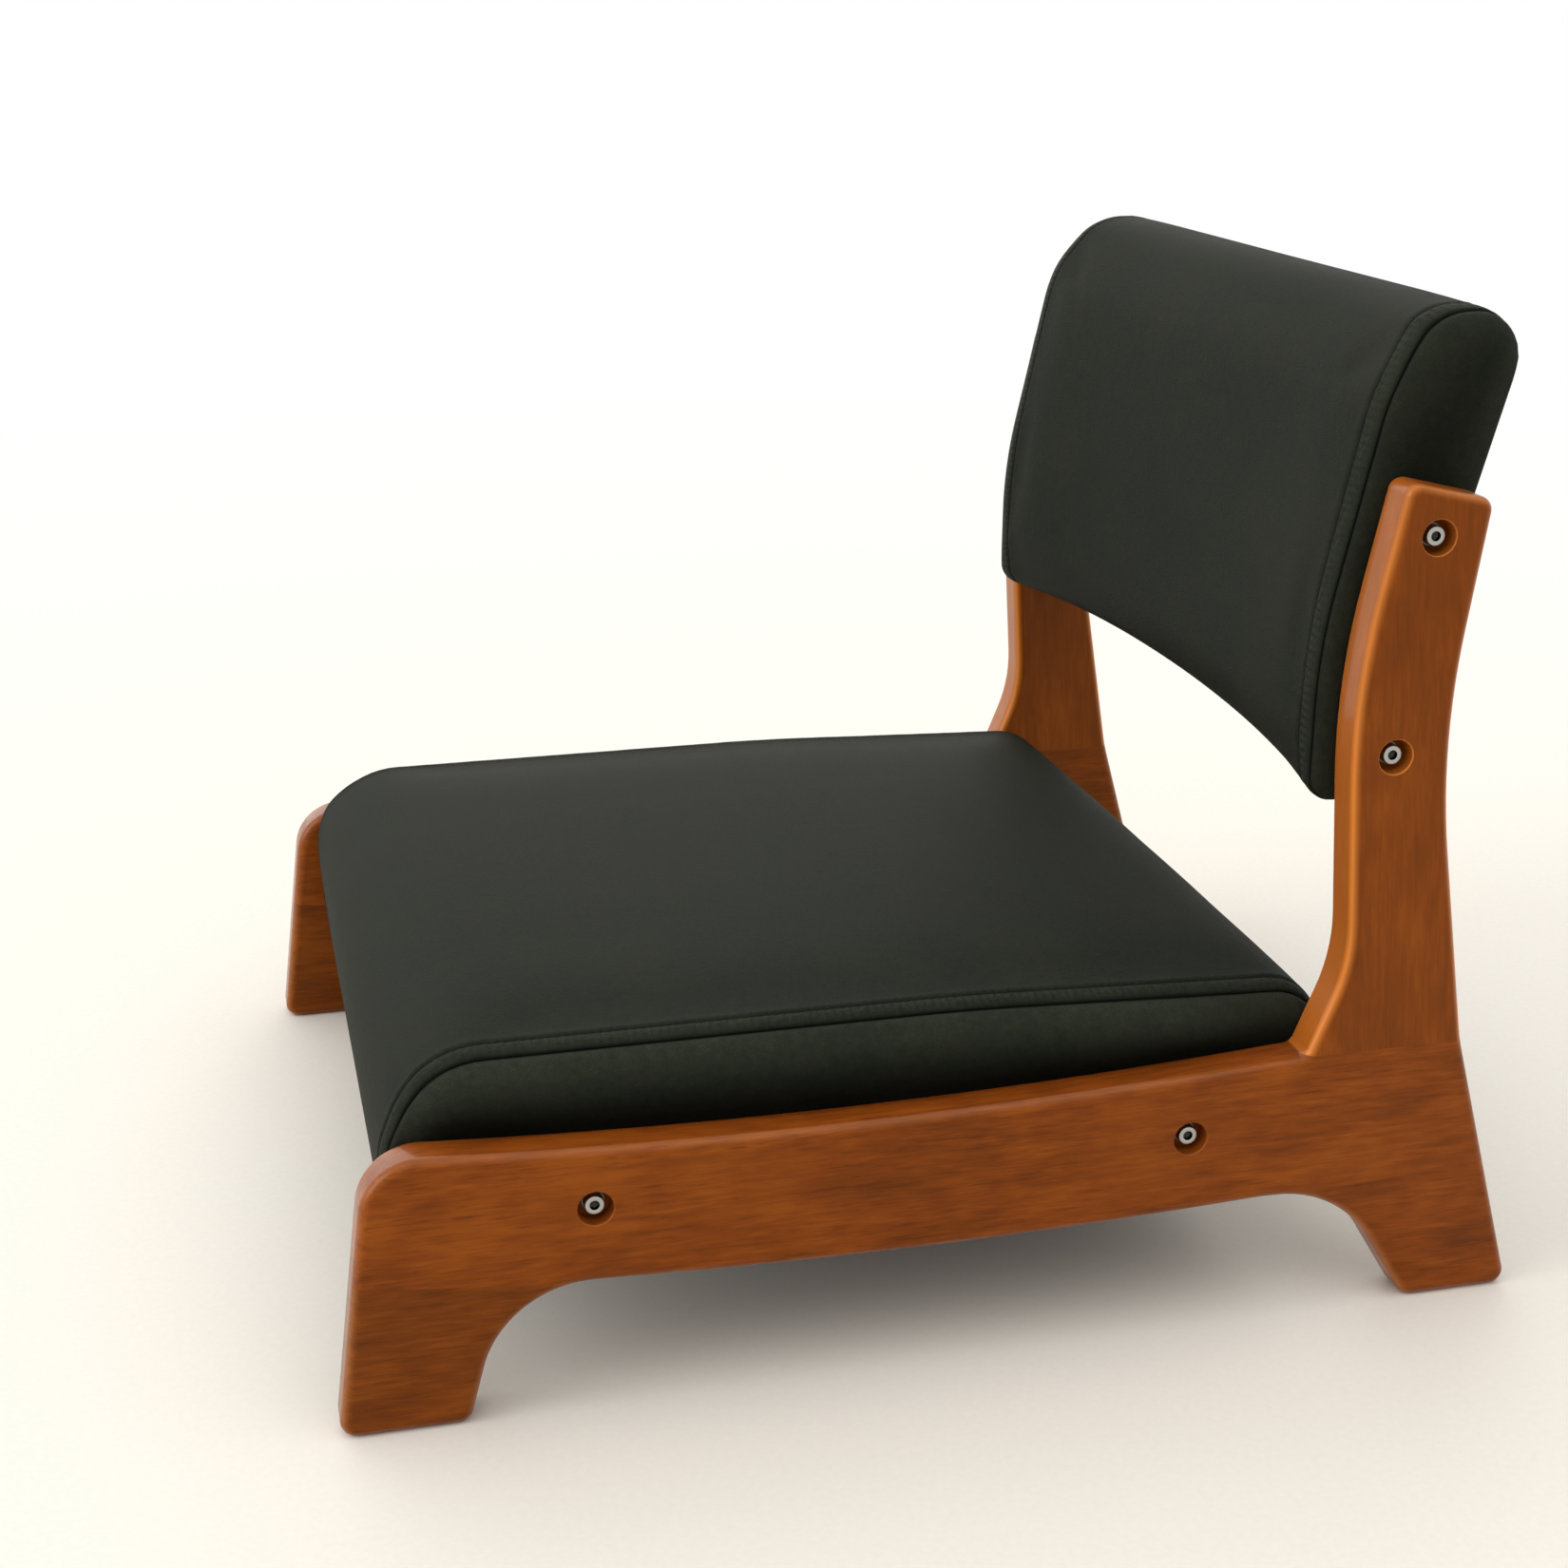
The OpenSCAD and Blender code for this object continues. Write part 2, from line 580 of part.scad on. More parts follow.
// How far the cover, rounded over with radius r below height top, stands in at height z
function curve_in(r, top, z) =
    let (up = min(0.9 * r, max(0, z - top + r))) r - sqrt(r * r - up * up) + (up > 0 ? r * (1 - cos(pad_step / 2)) : 0);
front_r = min(seat_front_r, 0.8 * (seat_seam_h - seat_under));
rear_r = min(seat_rear_r, 0.8 * (seat_seam_h - seat_seam_fall - seat_under));
function frame_front(z) = pad_front_y + cover_t + curve_in(front_r, seat_seam_h, z);
function frame_rear(z) = pad_rear_y - cover_t - curve_in(rear_r, seat_seam_h - seat_seam_fall, z);
frame_front_y = frame_front(panel_under);
frame_rear_y = frame_rear(panel_under);
panel_front_y = frame_front(foam_under) + pad_gap;
panel_rear_y = frame_rear(foam_under) - pad_gap;

module insert_hole() {
    translate([core_x - insert_len - 1, 0, 0]) rotate([0, 90, 0])
        cylinder(d = insert_d + 2 * hole_play, h = insert_len + 2);
}

module seat_frame_side(left) {
    color(pine) on_side(left) difference() {
        translate([core_x - batten_t, frame_front_y, frame_under])
            cube([batten_t, frame_rear_y - frame_front_y, batten_h]);
        at_bolts(seat_bolt_points) insert_hole();
        at_screws() screw_body(hole_play);
    }
}

module cross_batten(y) {
    color(pine) difference() {
        translate([-core_x + batten_t, y, frame_under]) cube([2 * (core_x - batten_t), batten_t, batten_h]);
        at_screws() screw_body(hole_play);
    }
}

module seat_frame_front() {
    cross_batten(frame_front_y);
}

module seat_frame_middle() {
    cross_batten((frame_front_y + frame_rear_y - batten_t) / 2);
}

module seat_frame_rear() {
    cross_batten(frame_rear_y - batten_t);
}

// Plywood panel on top of the frame, held by countersunk screws
screw_d = 3.5;
screw_len = 25;
screw_head_d = 7;
screw_head_h = 2.2;
screw_inset = batten_t / 2;
screw_y = [for (share = [0, 0.5, 1]) frame_front_y + screw_inset + share * (frame_rear_y - frame_front_y - 2 * screw_inset)];
screw_x = [for (share = [-1, -0.4, 0.4, 1]) share * (core_x - screw_inset)];

module at_screws() {
    for (x = screw_x) for (y = screw_y) translate([x, y, foam_under]) children();
}

module screw_body(play) {
    translate([0, 0, -screw_len]) cylinder(d = screw_d + 2 * play, h = screw_len - screw_head_h);
    translate([0, 0, -screw_head_h]) cylinder(d1 = screw_d + 2 * play, d2 = screw_head_d + 2 * play, h = screw_head_h);
}

module seat_panel() {
    color(ply) difference() {
        translate([-core_x, panel_front_y, panel_under])
            cube([2 * core_x, panel_rear_y - panel_front_y, seat_panel_t]);
        at_screws() screw_body(hole_play);
    }
}

module seat_panel_screws() {
    color(zinc) at_screws() screw_body(-hole_play);
}

// Seat foam: a block on the panel, domed like the cover and swelling over the rails
foam_inset = cover_t + pad_gap;
foam_side_share = [0, 0.35, 0.7];
foam_stations = [for (p = seat_seam_path)
    if (p[0][1] > foam_under + 4 && p[0][0] > pad_front_y + 2 && p[0][0] < pad_rear_y - 2) p];

function foam_top_z(p, x) = p[0][1] + p[1][1] * (seat_swell(p, x) - foam_inset);
function foam_section(p) =
    let (y = p[0][0] - p[1][0] * foam_inset,
         edge_x = seam_x(p[0][1]) - foam_inset,
         low_z = foam_under,
         high_z = foam_top_z(p, edge_x),
         side = [for (share = foam_side_share)
             let (z = low_z + (high_z - low_z) * share) [min(core_x, side_skin_x(y, max(z, foam_under)) - foam_inset), z]],
         top = [for (share = [1, 0.6, 0.2, -0.2, -0.6, -1]) [share * edge_x, foam_top_z(p, share * edge_x)]])
    [for (q = concat(side, top, [for (k = [len(side) - 1:-1:0]) [-side[k][0], side[k][1]]])) [q[0], y, q[1]]];

module seat_foam() {
    color(foam_colour) loft([for (p = foam_stations) foam_section(p)]);
}

// Thin felt under the seat frame, tacked to the battens
dust_cover_t = 0.6;
dust_inset = 4;
module seat_dust_cover() {
    color(felt) translate([-core_x + dust_inset, frame_front_y + dust_inset, frame_under - dust_cover_t])
        cube([2 * (core_x - dust_inset), frame_rear_y - frame_front_y - 2 * dust_inset, dust_cover_t]);
}

// Back pad section in the Y-Z plane, at the side seams
bolt_line_low = back_bolt_points[0];
bolt_line_high = back_bolt_points[1];
function bolt_line(z) = on_line(bolt_line_low, bolt_line_high, z);
lumbar_rise = 13;
lumbar_h = waist_h + lumbar_rise;
front_lean = tan(12.8);
rear_lean = tan(15.4);
back_front_bend = [bolt_line(lumbar_h) - back_front_set - 1, lumbar_h];
back_front_low = [back_front_bend[0] - 0.7, back_under];
back_front_shoulder = back_front_bend + (back_top - back_shoulder - lumbar_h) * [front_lean, 1];
back_front_top = back_front_shoulder + back_shoulder * [0.775, 1];
back_rear_bend = back_front_bend + [back_pad_t, 19];
back_rear_top = back_rear_bend + (back_top - back_rear_bend[1]) * [rear_lean, 1];
back_rear_low = [back_rear_bend[0] - 2.7, back_under];
back_low_r = 12;
back_bend_r = 250;
back_shoulder_r = 74;
back_shape = [back_front_low, back_rear_low, back_rear_bend, back_rear_top, back_front_top,
    back_front_shoulder, back_front_bend];
back_radii = [back_low_r, back_low_r, back_bend_r, back_top_rear_r, back_top_front_r, back_shoulder_r, back_bend_r];
// The rear top corner takes the larger share of the short top edge
back_shares = [0.48, 0.48, 0.48, 0.58, 0.4, 0.48, 0.48];
back_corners = [for (i = [0:6])
    let (b = back_shape[i],
         r = fit_radius(back_shape[(i + 6) % 7], b, back_shape[(i + 1) % 7], back_radii[i], back_shares[i]))
    [b[0], b[1], r]];
back_outline = rounded_outline(back_corners, pad_step, pad_span);
back_loop = with_spans(concat(back_outline, [back_outline[0]]), pad_span);
back_path = [for (i = [0:len(back_loop) - 2]) back_loop[i]];

// The side seams draw in over the last stretch below the top
back_seam_x = inner_x - 5;
back_pull_h = 30;
function back_pull(z) = back_top_pull * ease((z - back_top + back_pull_h) / back_pull_h);
// Point of the pad's skin at outline point p, a share t of the way from the middle to a
// seam. The pad is hollow across the chair, less so towards its top, and swells a little
function back_sweep(z, t) =
    let (rise = min(1, max(0, (z - lumbar_h) / (back_top - lumbar_h))))
    (back_hollow + (back_hollow_top - back_hollow) * rise) * (1 - t * t);
function back_swell(p, t) =
    back_crown * ease((p[0][1] - back_under) / 30) * (1 - pow(abs(t), 2.4)) * (0.2 + 0.8 * abs(p[1][0]));
function back_point(p, t, inset, gap) =
    let (q = p[0] + p[1] * (back_swell(p, t) - inset), z = p[0][1])
    [t * (back_seam_x - back_pull(z) - gap), q[0] + back_sweep(z, t), q[1]];
function back_skin(inset) =
    [for (p = back_path) [for (j = [0:back_columns]) back_point(p, 2 * j / back_columns - 1, inset, 0)]];

module back_cover_wrap() {
    color(fabric)
        sheet_solid(back_skin(0), back_skin(cover_t), wrapped = true);
}

// Side panel of the back: a shallow dish sewn to the wrap all round. Each ring is given as
// [x, distance inside the outline, share of the seam's pull that it follows]
module back_cover_side(left) {
    rim_x = back_seam_x + pad_gap;
    depth = skin_x - rim_x;
    dish = [[skin_x, 8, 0], [rim_x + 0.65 * depth, 2.6, 0.35], [rim_x, 0, 1], [rim_x, cover_t, 1], [core_x, 8, 0]];
    color(fabric) on_side(left) difference() {
        loft([for (k = [len(dish) - 1:-1:0])
            [for (p = back_path)
                let (q = p[0] - p[1] * dish[k][1]) [dish[k][0] - dish[k][2] * back_pull(p[0][1]), q[0], q[1]]]]);
        at_bolts(back_bolt_points) cover_punch();
    }
}

// Back frame: battens, cross rails and facing all follow one bend across the chair,
// in a frame that stands on the lower bolt and leans along the bolt line
bend_r = (inner_x * inner_x + back_hollow * back_hollow) / (2 * back_hollow);
bend_facets = 720;
bend_reach = 60;
back_frame_rise = 7;
back_frame_drop = 32;
back_low_s = -(back_bolt_low - back_under - back_frame_rise) / cos(back_tilt);
back_high_s = (back_top - back_frame_drop - back_bolt_low) / cos(back_tilt);

module in_back_frame() {
    translate([0, bolt_line_low[0], bolt_line_low[1]]) rotate([-back_tilt, 0, 0]) children();
}

// Block between two bent surfaces, from x0 to x1 and s0 to s1 up the lean
module bent_block(x0, x1, s0, s1, n0, n1) {
    in_back_frame() intersection() {
        translate([0, back_hollow - bend_r, s0]) difference() {
            cylinder(r = bend_r + n1, h = s1 - s0, $fn = bend_facets);
            translate([0, 0, -1]) cylinder(r = bend_r + n0, h = s1 - s0 + 2, $fn = bend_facets);
        }
        translate([x0, -bend_reach, s0 - 1]) cube([x1 - x0, 2 * bend_reach, s1 - s0 + 2]);
    }
}

half_frame_t = back_frame_t / 2;
module back_batten(left) {
    color(pine) on_side(left) difference() {
        bent_block(core_x - back_batten_w, core_x, back_low_s, back_high_s, -half_frame_t, half_frame_t);
        at_bolts(back_bolt_points) insert_hole();
    }
}

module back_cross_rail(s0) {
    reach = core_x - back_batten_w;
    color(pine) bent_block(-reach, reach, s0, s0 + back_batten_w, -half_frame_t, half_frame_t);
}

module back_lower_rail() {
    back_cross_rail(back_low_s);
}

module back_upper_rail() {
    back_cross_rail(back_high_s - back_batten_w);
}

module back_panel() {
    color(ply) bent_block(-core_x, core_x, back_low_s, back_high_s, -half_frame_t - back_panel_t, -half_frame_t);
}

// Back foam wraps the wooden frame on all sides but the ends
module back_foam() {
    last = back_columns - 2;
    rings = [for (j = [0:last]) [for (p = back_path) back_point(p, 2 * j / last - 1, foam_inset, pad_gap)]];
    color(foam_colour) difference() {
        loft([for (k = [len(rings) - 1:-1:0]) rings[k]]);
        bent_block(-inner_x, inner_x, back_low_s - pad_gap, back_high_s + pad_gap,
            -half_frame_t - back_panel_t - pad_gap, half_frame_t + pad_gap);
    }
}

// Threaded inserts, one behind each bolt
module insert() {
    translate([core_x - insert_len, 0, 0]) rotate([0, 90, 0]) difference() {
        cylinder(d = insert_d, h = insert_len);
        translate([0, 0, -1]) cylinder(d = bolt_d + 2 * hole_play, h = insert_len + 2);
    }
}

module both_sides() {
    children();
    mirror([1, 0, 0]) children();
}

module seat_inserts() {
    color(zinc) both_sides() at_bolts(seat_bolt_points) insert();
}

module back_inserts() {
    color(zinc) both_sides() at_bolts(back_bolt_points) insert();
}

// Socket head bolt, its head seated on the washer at the bottom of the counterbore
socket_depth = 2.6;
head_ease = 0.5;
module bolt() {
    head_x = outer_x - counterbore_depth + washer_t;
    translate([head_x, 0, 0]) rotate([0, 90, 0]) difference() {
        union() {
            translate([0, 0, -bolt_len]) cylinder(d = bolt_d, h = bolt_len + 1);
            cylinder(d = bolt_head_d, h = bolt_head_h - head_ease);
            translate([0, 0, bolt_head_h - head_ease])
                cylinder(d1 = bolt_head_d, d2 = bolt_head_d - 2 * head_ease, h = head_ease);
        }
        translate([0, 0, bolt_head_h - socket_depth])
            cylinder(d = socket_af / cos(30), h = socket_depth + 1, $fn = 6);
    }
}

module washer() {
    translate([outer_x - counterbore_depth, 0, 0]) rotate([0, 90, 0]) difference() {
        cylinder(d = washer_d, h = washer_t);
        translate([0, 0, -1]) cylinder(d = bolt_d + 0.3, h = washer_t + 2);
    }
}

module seat_bolts() {
    color(zinc) both_sides() at_bolts(seat_bolt_points) bolt();
}

module back_bolts() {
    color(zinc) both_sides() at_bolts(back_bolt_points) bolt();
}

module bolt_washers() {
    color(zinc) both_sides() at_bolts(concat(seat_bolt_points, back_bolt_points)) washer();
}

rail(true);  // left_rail
rail(false);  // right_rail
front_foot(true);  // left_front_foot
front_foot(false);  // right_front_foot
rear_foot(true);  // left_rear_foot
rear_foot(false);  // right_rear_foot
upright(true);  // left_upright
upright(false);  // right_upright
frame_dowels(true);  // left_frame_dowels
frame_dowels(false);  // right_frame_dowels
seat_frame_side(true);  // seat_frame_left
seat_frame_side(false);  // seat_frame_right
seat_frame_front();
seat_frame_rear();
seat_frame_middle();
seat_panel();
seat_panel_screws();
seat_foam();
seat_cover_top();
seat_cover_side(true);  // seat_cover_left_side
seat_cover_side(false);  // seat_cover_right_side
seat_dust_cover();
back_batten(true);  // back_left_batten
back_batten(false);  // back_right_batten
back_upper_rail();
back_lower_rail();
back_panel();
back_foam();
back_cover_wrap();
back_cover_side(true);  // back_cover_left_side
back_cover_side(false);  // back_cover_right_side
seat_inserts();
back_inserts();
seat_bolts();
back_bolts();
bolt_washers();
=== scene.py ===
import json
import math

import bmesh
import bpy
import numpy as np
from mathutils import Matrix, Vector

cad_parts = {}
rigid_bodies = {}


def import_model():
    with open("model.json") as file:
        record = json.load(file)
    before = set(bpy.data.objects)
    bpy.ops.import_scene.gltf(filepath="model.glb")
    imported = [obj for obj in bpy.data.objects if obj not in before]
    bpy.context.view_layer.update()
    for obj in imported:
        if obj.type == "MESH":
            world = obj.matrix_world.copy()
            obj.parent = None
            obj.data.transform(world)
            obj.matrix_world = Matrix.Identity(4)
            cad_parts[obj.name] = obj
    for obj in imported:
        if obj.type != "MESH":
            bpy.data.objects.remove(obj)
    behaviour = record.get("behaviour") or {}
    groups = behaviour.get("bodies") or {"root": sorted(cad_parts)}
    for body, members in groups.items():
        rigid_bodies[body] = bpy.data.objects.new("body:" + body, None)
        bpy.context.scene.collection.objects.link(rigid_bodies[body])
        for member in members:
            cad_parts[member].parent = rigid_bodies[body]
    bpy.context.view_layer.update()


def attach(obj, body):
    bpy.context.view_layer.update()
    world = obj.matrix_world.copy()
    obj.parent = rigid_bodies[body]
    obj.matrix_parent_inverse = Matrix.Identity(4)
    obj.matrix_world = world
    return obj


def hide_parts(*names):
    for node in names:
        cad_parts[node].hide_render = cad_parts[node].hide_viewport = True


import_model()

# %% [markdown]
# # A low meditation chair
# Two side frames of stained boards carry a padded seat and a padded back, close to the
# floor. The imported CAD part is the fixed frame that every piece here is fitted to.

MM = 0.001
scene = bpy.context.scene
rng = np.random.default_rng(7)

# %% [markdown]
# ## Sizes
# The chair is drawn in millimetres, with the same values as the CAD source: Y runs from
# the toe of the side frames to the heel, Z goes up, X = 0 is the middle of the seat. The
# sizes could be measured off the CAD meshes, but a named value says what it is, and the
# pieces that share it stay in line with each other.

# %% Sizes of the side frames
SEAT_W, FRAME_D, BOARD_T, EDGE_R = 416.0, 530.0, 22.0, 5.0
INNER_X = SEAT_W / 2
OUTER_X = INNER_X + BOARD_T
TOE_Y, HEEL_Y = -FRAME_D / 2, FRAME_D / 2
RAIL_H, RAIL_REAR_H, RAIL_DIP, ARCH_H, ARCH_DIP = 124.6, 125.6, 6.4, 60.5, 4.0
TOE_W, HEEL_W, UPRIGHT_TOP_W = 54.5, 52.0, 40.2
FRONT_RAKE, TOE_BACK_RAKE, HEEL_FRONT_RAKE, HEEL_RAKE = 7.4, 15.0, 31.2, 15.3
TOP_SLOPE = math.radians(13.7)
# Where the upright bends: distance forward from the heel, and height.
ROOT, KNEE, WAIST = (108.5, RAIL_REAR_H), (91.5, 167.0), (98.9, 289.5)
TOP_FRONT, HOLLOW = (80.6, 376.6), (56.1, 264.0)
SEAT_BOLT_H, BACK_BOLT_HEIGHTS, BACK_BOLT_SET = 93.2, (260.0, 353.0), 19.0
SEAT_BOLTS = [(TOE_Y + 109.0, SEAT_BOLT_H), (HEEL_Y - 161.0, SEAT_BOLT_H)]


def tan_deg(angle):
    return math.tan(math.radians(angle))


# %% Corners of a side frame, seen from its side
root, knee, waist, top_front, hollow = (
    (HEEL_Y - forward, height) for forward, height in (ROOT, KNEE, WAIST, TOP_FRONT, HOLLOW)
)
front_top = (TOE_Y + RAIL_H * tan_deg(FRONT_RAKE), RAIL_H)
dip = ((front_top[0] + root[0]) / 2, (RAIL_H + RAIL_REAR_H) / 2 - 2 * RAIL_DIP)
top_rear = (
    top_front[0] + UPRIGHT_TOP_W * math.cos(TOP_SLOPE), top_front[1] - UPRIGHT_TOP_W * math.sin(TOP_SLOPE)
)
heel = (HEEL_Y, 0.0)
heel_joint = (HEEL_Y - RAIL_REAR_H * tan_deg(HEEL_RAKE), RAIL_REAR_H)
heel_front = (HEEL_Y - HEEL_W, 0.0)
heel_arch = (heel_front[0] - ARCH_H * tan_deg(HEEL_FRONT_RAKE), ARCH_H)
toe_back = (TOE_Y + TOE_W, 0.0)
toe_arch = (toe_back[0] + ARCH_H * tan_deg(TOE_BACK_RAKE), ARCH_H)
arch_mid = ((toe_arch[0] + heel_arch[0]) / 2, ARCH_H - 2 * ARCH_DIP)


# %% Bolt centres
def on_line(a, b, z):
    return a[0] + (b[0] - a[0]) * (z - a[1]) / (b[1] - a[1])


BACK_BOLTS = [
    (on_line(a, b, z) + BACK_BOLT_SET, z)
    for a, b, z in zip((knee, waist), (waist, top_front), BACK_BOLT_HEIGHTS)
]
print("bolt centres (y, z) in mm:", SEAT_BOLTS, BACK_BOLTS)

# %% [markdown]
# ## Rounded outlines
# A side frame is one flat shape with soft corners, and a cushion seen from the side is
# another. A curve object with a bevel could draw them, but a list of corners with a radius
# each is easier to take from a drawing. It comes back as points with their outward normals,
# so that a ring further in, for a roundover, is the same points moved in.

# %% A corner and its radius
FOOT_R, TOP_R, NOSE_R = 6.5, 6.0, 26.0


def corner_turn(a, b, c):
    d, e = np.subtract(b, a), np.subtract(c, b)
    d, e = d / np.linalg.norm(d), e / np.linalg.norm(e)
    return math.atan2(d[0] * e[1] - d[1] * e[0], d @ e), d


def soft_radius(a, b, c, share):
    """The radius whose arc takes up this share of the corner's shorter side."""
    turn, _ = corner_turn(a, b, c)
    short = min(np.linalg.norm(np.subtract(b, a)), np.linalg.norm(np.subtract(c, b)))
    return share * short / math.tan(abs(turn) / 2)


def fit_radius(a, b, c, r, share=0.48):
    return min(r, soft_radius(a, b, c, share))


# %% From corners to points
def rounded_outline(corners, step_deg, span, closed=True):
    points, normals = [], []
    count = len(corners)
    for i in range(count):
        if not closed and i in (0, count - 1):
            a, b = (corners[0], corners[1]) if i == 0 else (corners[-2], corners[-1])
            d = np.subtract(b[:2], a[:2])
            d = d / np.linalg.norm(d)
            points.append(np.array(corners[i][:2], float))
            normals.append(np.array([d[1], -d[0]]))
            continue
        a, b, c = corners[i - 1], corners[i], corners[(i + 1) % count]
        turn, d = corner_turn(a[:2], b[:2], c[:2])
        r, s = b[2], math.copysign(1.0, turn)
        middle = np.array(b[:2]) - d * r * math.tan(abs(turn) / 2) - s * r * np.array([d[1], -d[0]])
        first = math.atan2(-d[0], d[1])
        steps = max(1, math.ceil(math.degrees(abs(turn)) / step_deg), math.ceil(r * abs(turn) / span))
        for k in range(steps + 1):
            n = np.array([math.cos(first + turn * k / steps), math.sin(first + turn * k / steps)])
            points.append(middle + s * r * n)
            normals.append(n)
    return np.array(points), np.array(normals)


# %% The side frame's outline
frame_corners = [
    (TOE_Y, 0.0, FOOT_R), (*toe_back, FOOT_R), (*toe_arch, 47.0),
    (*arch_mid, soft_radius(toe_arch, arch_mid, heel_arch, 0.7)),
    (*heel_arch, fit_radius(arch_mid, heel_arch, heel_front, 70.0)),
    (*heel_front, FOOT_R), (*heel, FOOT_R),
    (*heel_joint, fit_radius(heel, heel_joint, hollow, 80.0)),
    (*hollow, fit_radius(heel_joint, hollow, top_rear, 560.0)),
    (*top_rear, TOP_R), (*top_front, TOP_R),
    (*waist, fit_radius(top_front, waist, knee, 370.0)),
    (*knee, fit_radius(waist, knee, root, 80.0)),
    (*root, 5.0), (*dip, soft_radius(front_top, dip, root, 0.84)), (*front_top, NOSE_R),
]
frame_points, frame_normals = rounded_outline(frame_corners, step_deg=4.0, span=9.0)
print("side frame outline:", len(frame_points), "points")

# %% [markdown]
# ## Boards from rings
# A side frame is glued from four boards: rail, two feet and upright. One roundover runs on
# across the glue lines. A Bevel modifier on each board would round its glued faces too, so
# the frame is a stack of rings through the board's thickness, drawn in along the roundover,
# and each board takes the stretch of every ring between two glue lines.

# %% Rings and glue lines
ROUND_STEPS = 7
quarter = [
    (EDGE_R * (1 - math.cos(a)), EDGE_R * (1 - math.sin(a)))
    for a in np.linspace(0, math.pi / 2, ROUND_STEPS + 1)
]
layers = quarter + [(BOARD_T - depth, inset) for depth, inset in reversed(quarter)]
rings = [frame_points - inset * frame_normals for _, inset in layers]
RING = len(frame_points)
# Each foot's glue line runs between two points (y, z). The upright's is level.
glue_front = ((TOE_Y, 70.0), (toe_arch[0] + 42.0, 58.5))
glue_rear = ((HEEL_Y, 66.0), (heel_arch[0] - 38.0, 59.0))
GLUE_UPRIGHT_Z = 126.0


def glue_z(part, y):
    if part == "upright":
        return GLUE_UPRIGHT_Z
    a, b = glue_front if part == "front_foot" else glue_rear
    return a[1] + (b[1] - a[1]) * (y - a[0]) / (b[0] - a[0])


# %% Where the rings cross the glue lines
def inside(part, p):
    if part == "upright":
        return p[0] > root[0] - 5.0 and p[1] > GLUE_UPRIGHT_Z
    ahead = p[0] < arch_mid[0] if part == "front_foot" else p[0] > arch_mid[0]
    return ahead and p[1] < glue_z(part, p[0])


def crossing(part, entering):
    """Where each ring enters or leaves a part, as places along the ring."""
    places = []
    for ring in rings:
        for i in range(RING):
            a, b = ring[i], ring[(i + 1) % RING]
            if inside(part, a) != entering and inside(part, b) == entering:
                da, db = a[1] - glue_z(part, a[0]), b[1] - glue_z(part, b[0])
                places.append(i + da / (da - db))
                break
    return int(min(places)), int(max(places)) + 1, places


# %% A board's share of the rings
def ring_at(k, u):
    i = int(math.floor(u))
    a, b = rings[k][i % RING], rings[k][(i + 1) % RING]
    return a + (b - a) * (u - i)


def stretch(start, end, k):
    """The points of ring k from one glue line on to the next."""
    lap = RING if end[0] < start[0] else 0
    u0, first, steps0 = start[2][k], start[1], max(1, math.ceil((start[1] - start[0]) / 2))
    u1, last, steps1 = end[2][k] + lap, end[0] + lap, max(1, math.ceil((end[1] - end[0]) / 2))
    out = [ring_at(k, u0 + (first - u0) * t / steps0) for t in range(steps0 + 1)]
    out += [rings[k][i % RING] for i in range(first + 1, last)]
    skip = 1 if first == last else 0
    return out + [ring_at(k, last + (u1 - last) * t / steps1) for t in range(skip, steps1 + 1)]


cuts = {
    (part, way): crossing(part, way)
    for part in ("front_foot", "rear_foot", "upright") for way in (True, False)
}


def board_rings(name):
    if name != "rail":
        return [stretch(cuts[name, True], cuts[name, False], k) for k in range(len(layers))]
    return [
        stretch(cuts["front_foot", False], cuts["rear_foot", True], k)
        + stretch(cuts["rear_foot", False], cuts["upright", True], k)
        + stretch(cuts["upright", False], cuts["front_foot", True], k)
        for k in range(len(layers))
    ]


# %% Solids from rings
def new_object(name, bm):
    mesh = bpy.data.meshes.new(name)
    bm.to_mesh(mesh)
    bm.free()
    obj = bpy.data.objects.new(name, mesh)
    scene.collection.objects.link(obj)
    return obj


def closed_solid(name, rings_mm):
    """A skin from ring to ring of points, closed by a face at both ends."""
    bm = bmesh.new()
    loops = [[bm.verts.new([c * MM for c in point]) for point in ring] for ring in rings_mm]
    size = len(loops[0])
    for lower, upper in zip(loops, loops[1:]):
        for i in range(size):
            j = (i + 1) % size
            bm.faces.new((lower[i], lower[j], upper[j], upper[i]))
    bm.faces.new(loops[0][::-1])
    bm.faces.new(loops[-1])
    bmesh.ops.recalc_face_normals(bm, faces=bm.faces)
    return new_object(name, bm)


# %% Boards, and meshes with their modifiers applied
def board_object(part, name):
    return closed_solid(name, [
        [(INNER_X + depth, p[0], p[1]) for p in ring] for (depth, _), ring in zip(layers, board_rings(part))
    ])


def apply_modifiers(obj):
    depsgraph = bpy.context.evaluated_depsgraph_get()
    mesh = bpy.data.meshes.new_from_object(obj.evaluated_get(depsgraph))
    obj.modifiers.clear()
    obj.data = mesh
    return obj


print("boards of", [(n, len(board_rings(n)[0])) for n in ("rail", "front_foot", "rear_foot", "upright")])

# %% [markdown]
# ## Bolt pockets
# The bolts' heads sit in counterbores. A dark disc could stand for one from afar, but light
# falls into a real one, so a Boolean takes a turned cutter away: an eased mouth, a rounded
# bottom corner and the bolt's clearance hole. Weighted normals keep the flat faces flat
# beside it.

# %% The pocket's cutter
# The cutter's profile: distance into the board, and radius.
POCKET = [
    (-2.0, 9.0), (0.0, 8.05), (0.25, 7.72), (0.7, 7.5), (8.7, 7.5), (8.95, 7.4), (9.0, 7.2), (9.0, 2.75),
    (24.0, 2.75),
]
POCKET_DEPTH, POCKET_SEGMENTS = 9.0, 72


def full_turn(segments):
    return [2 * math.pi * k / segments for k in range(segments)]


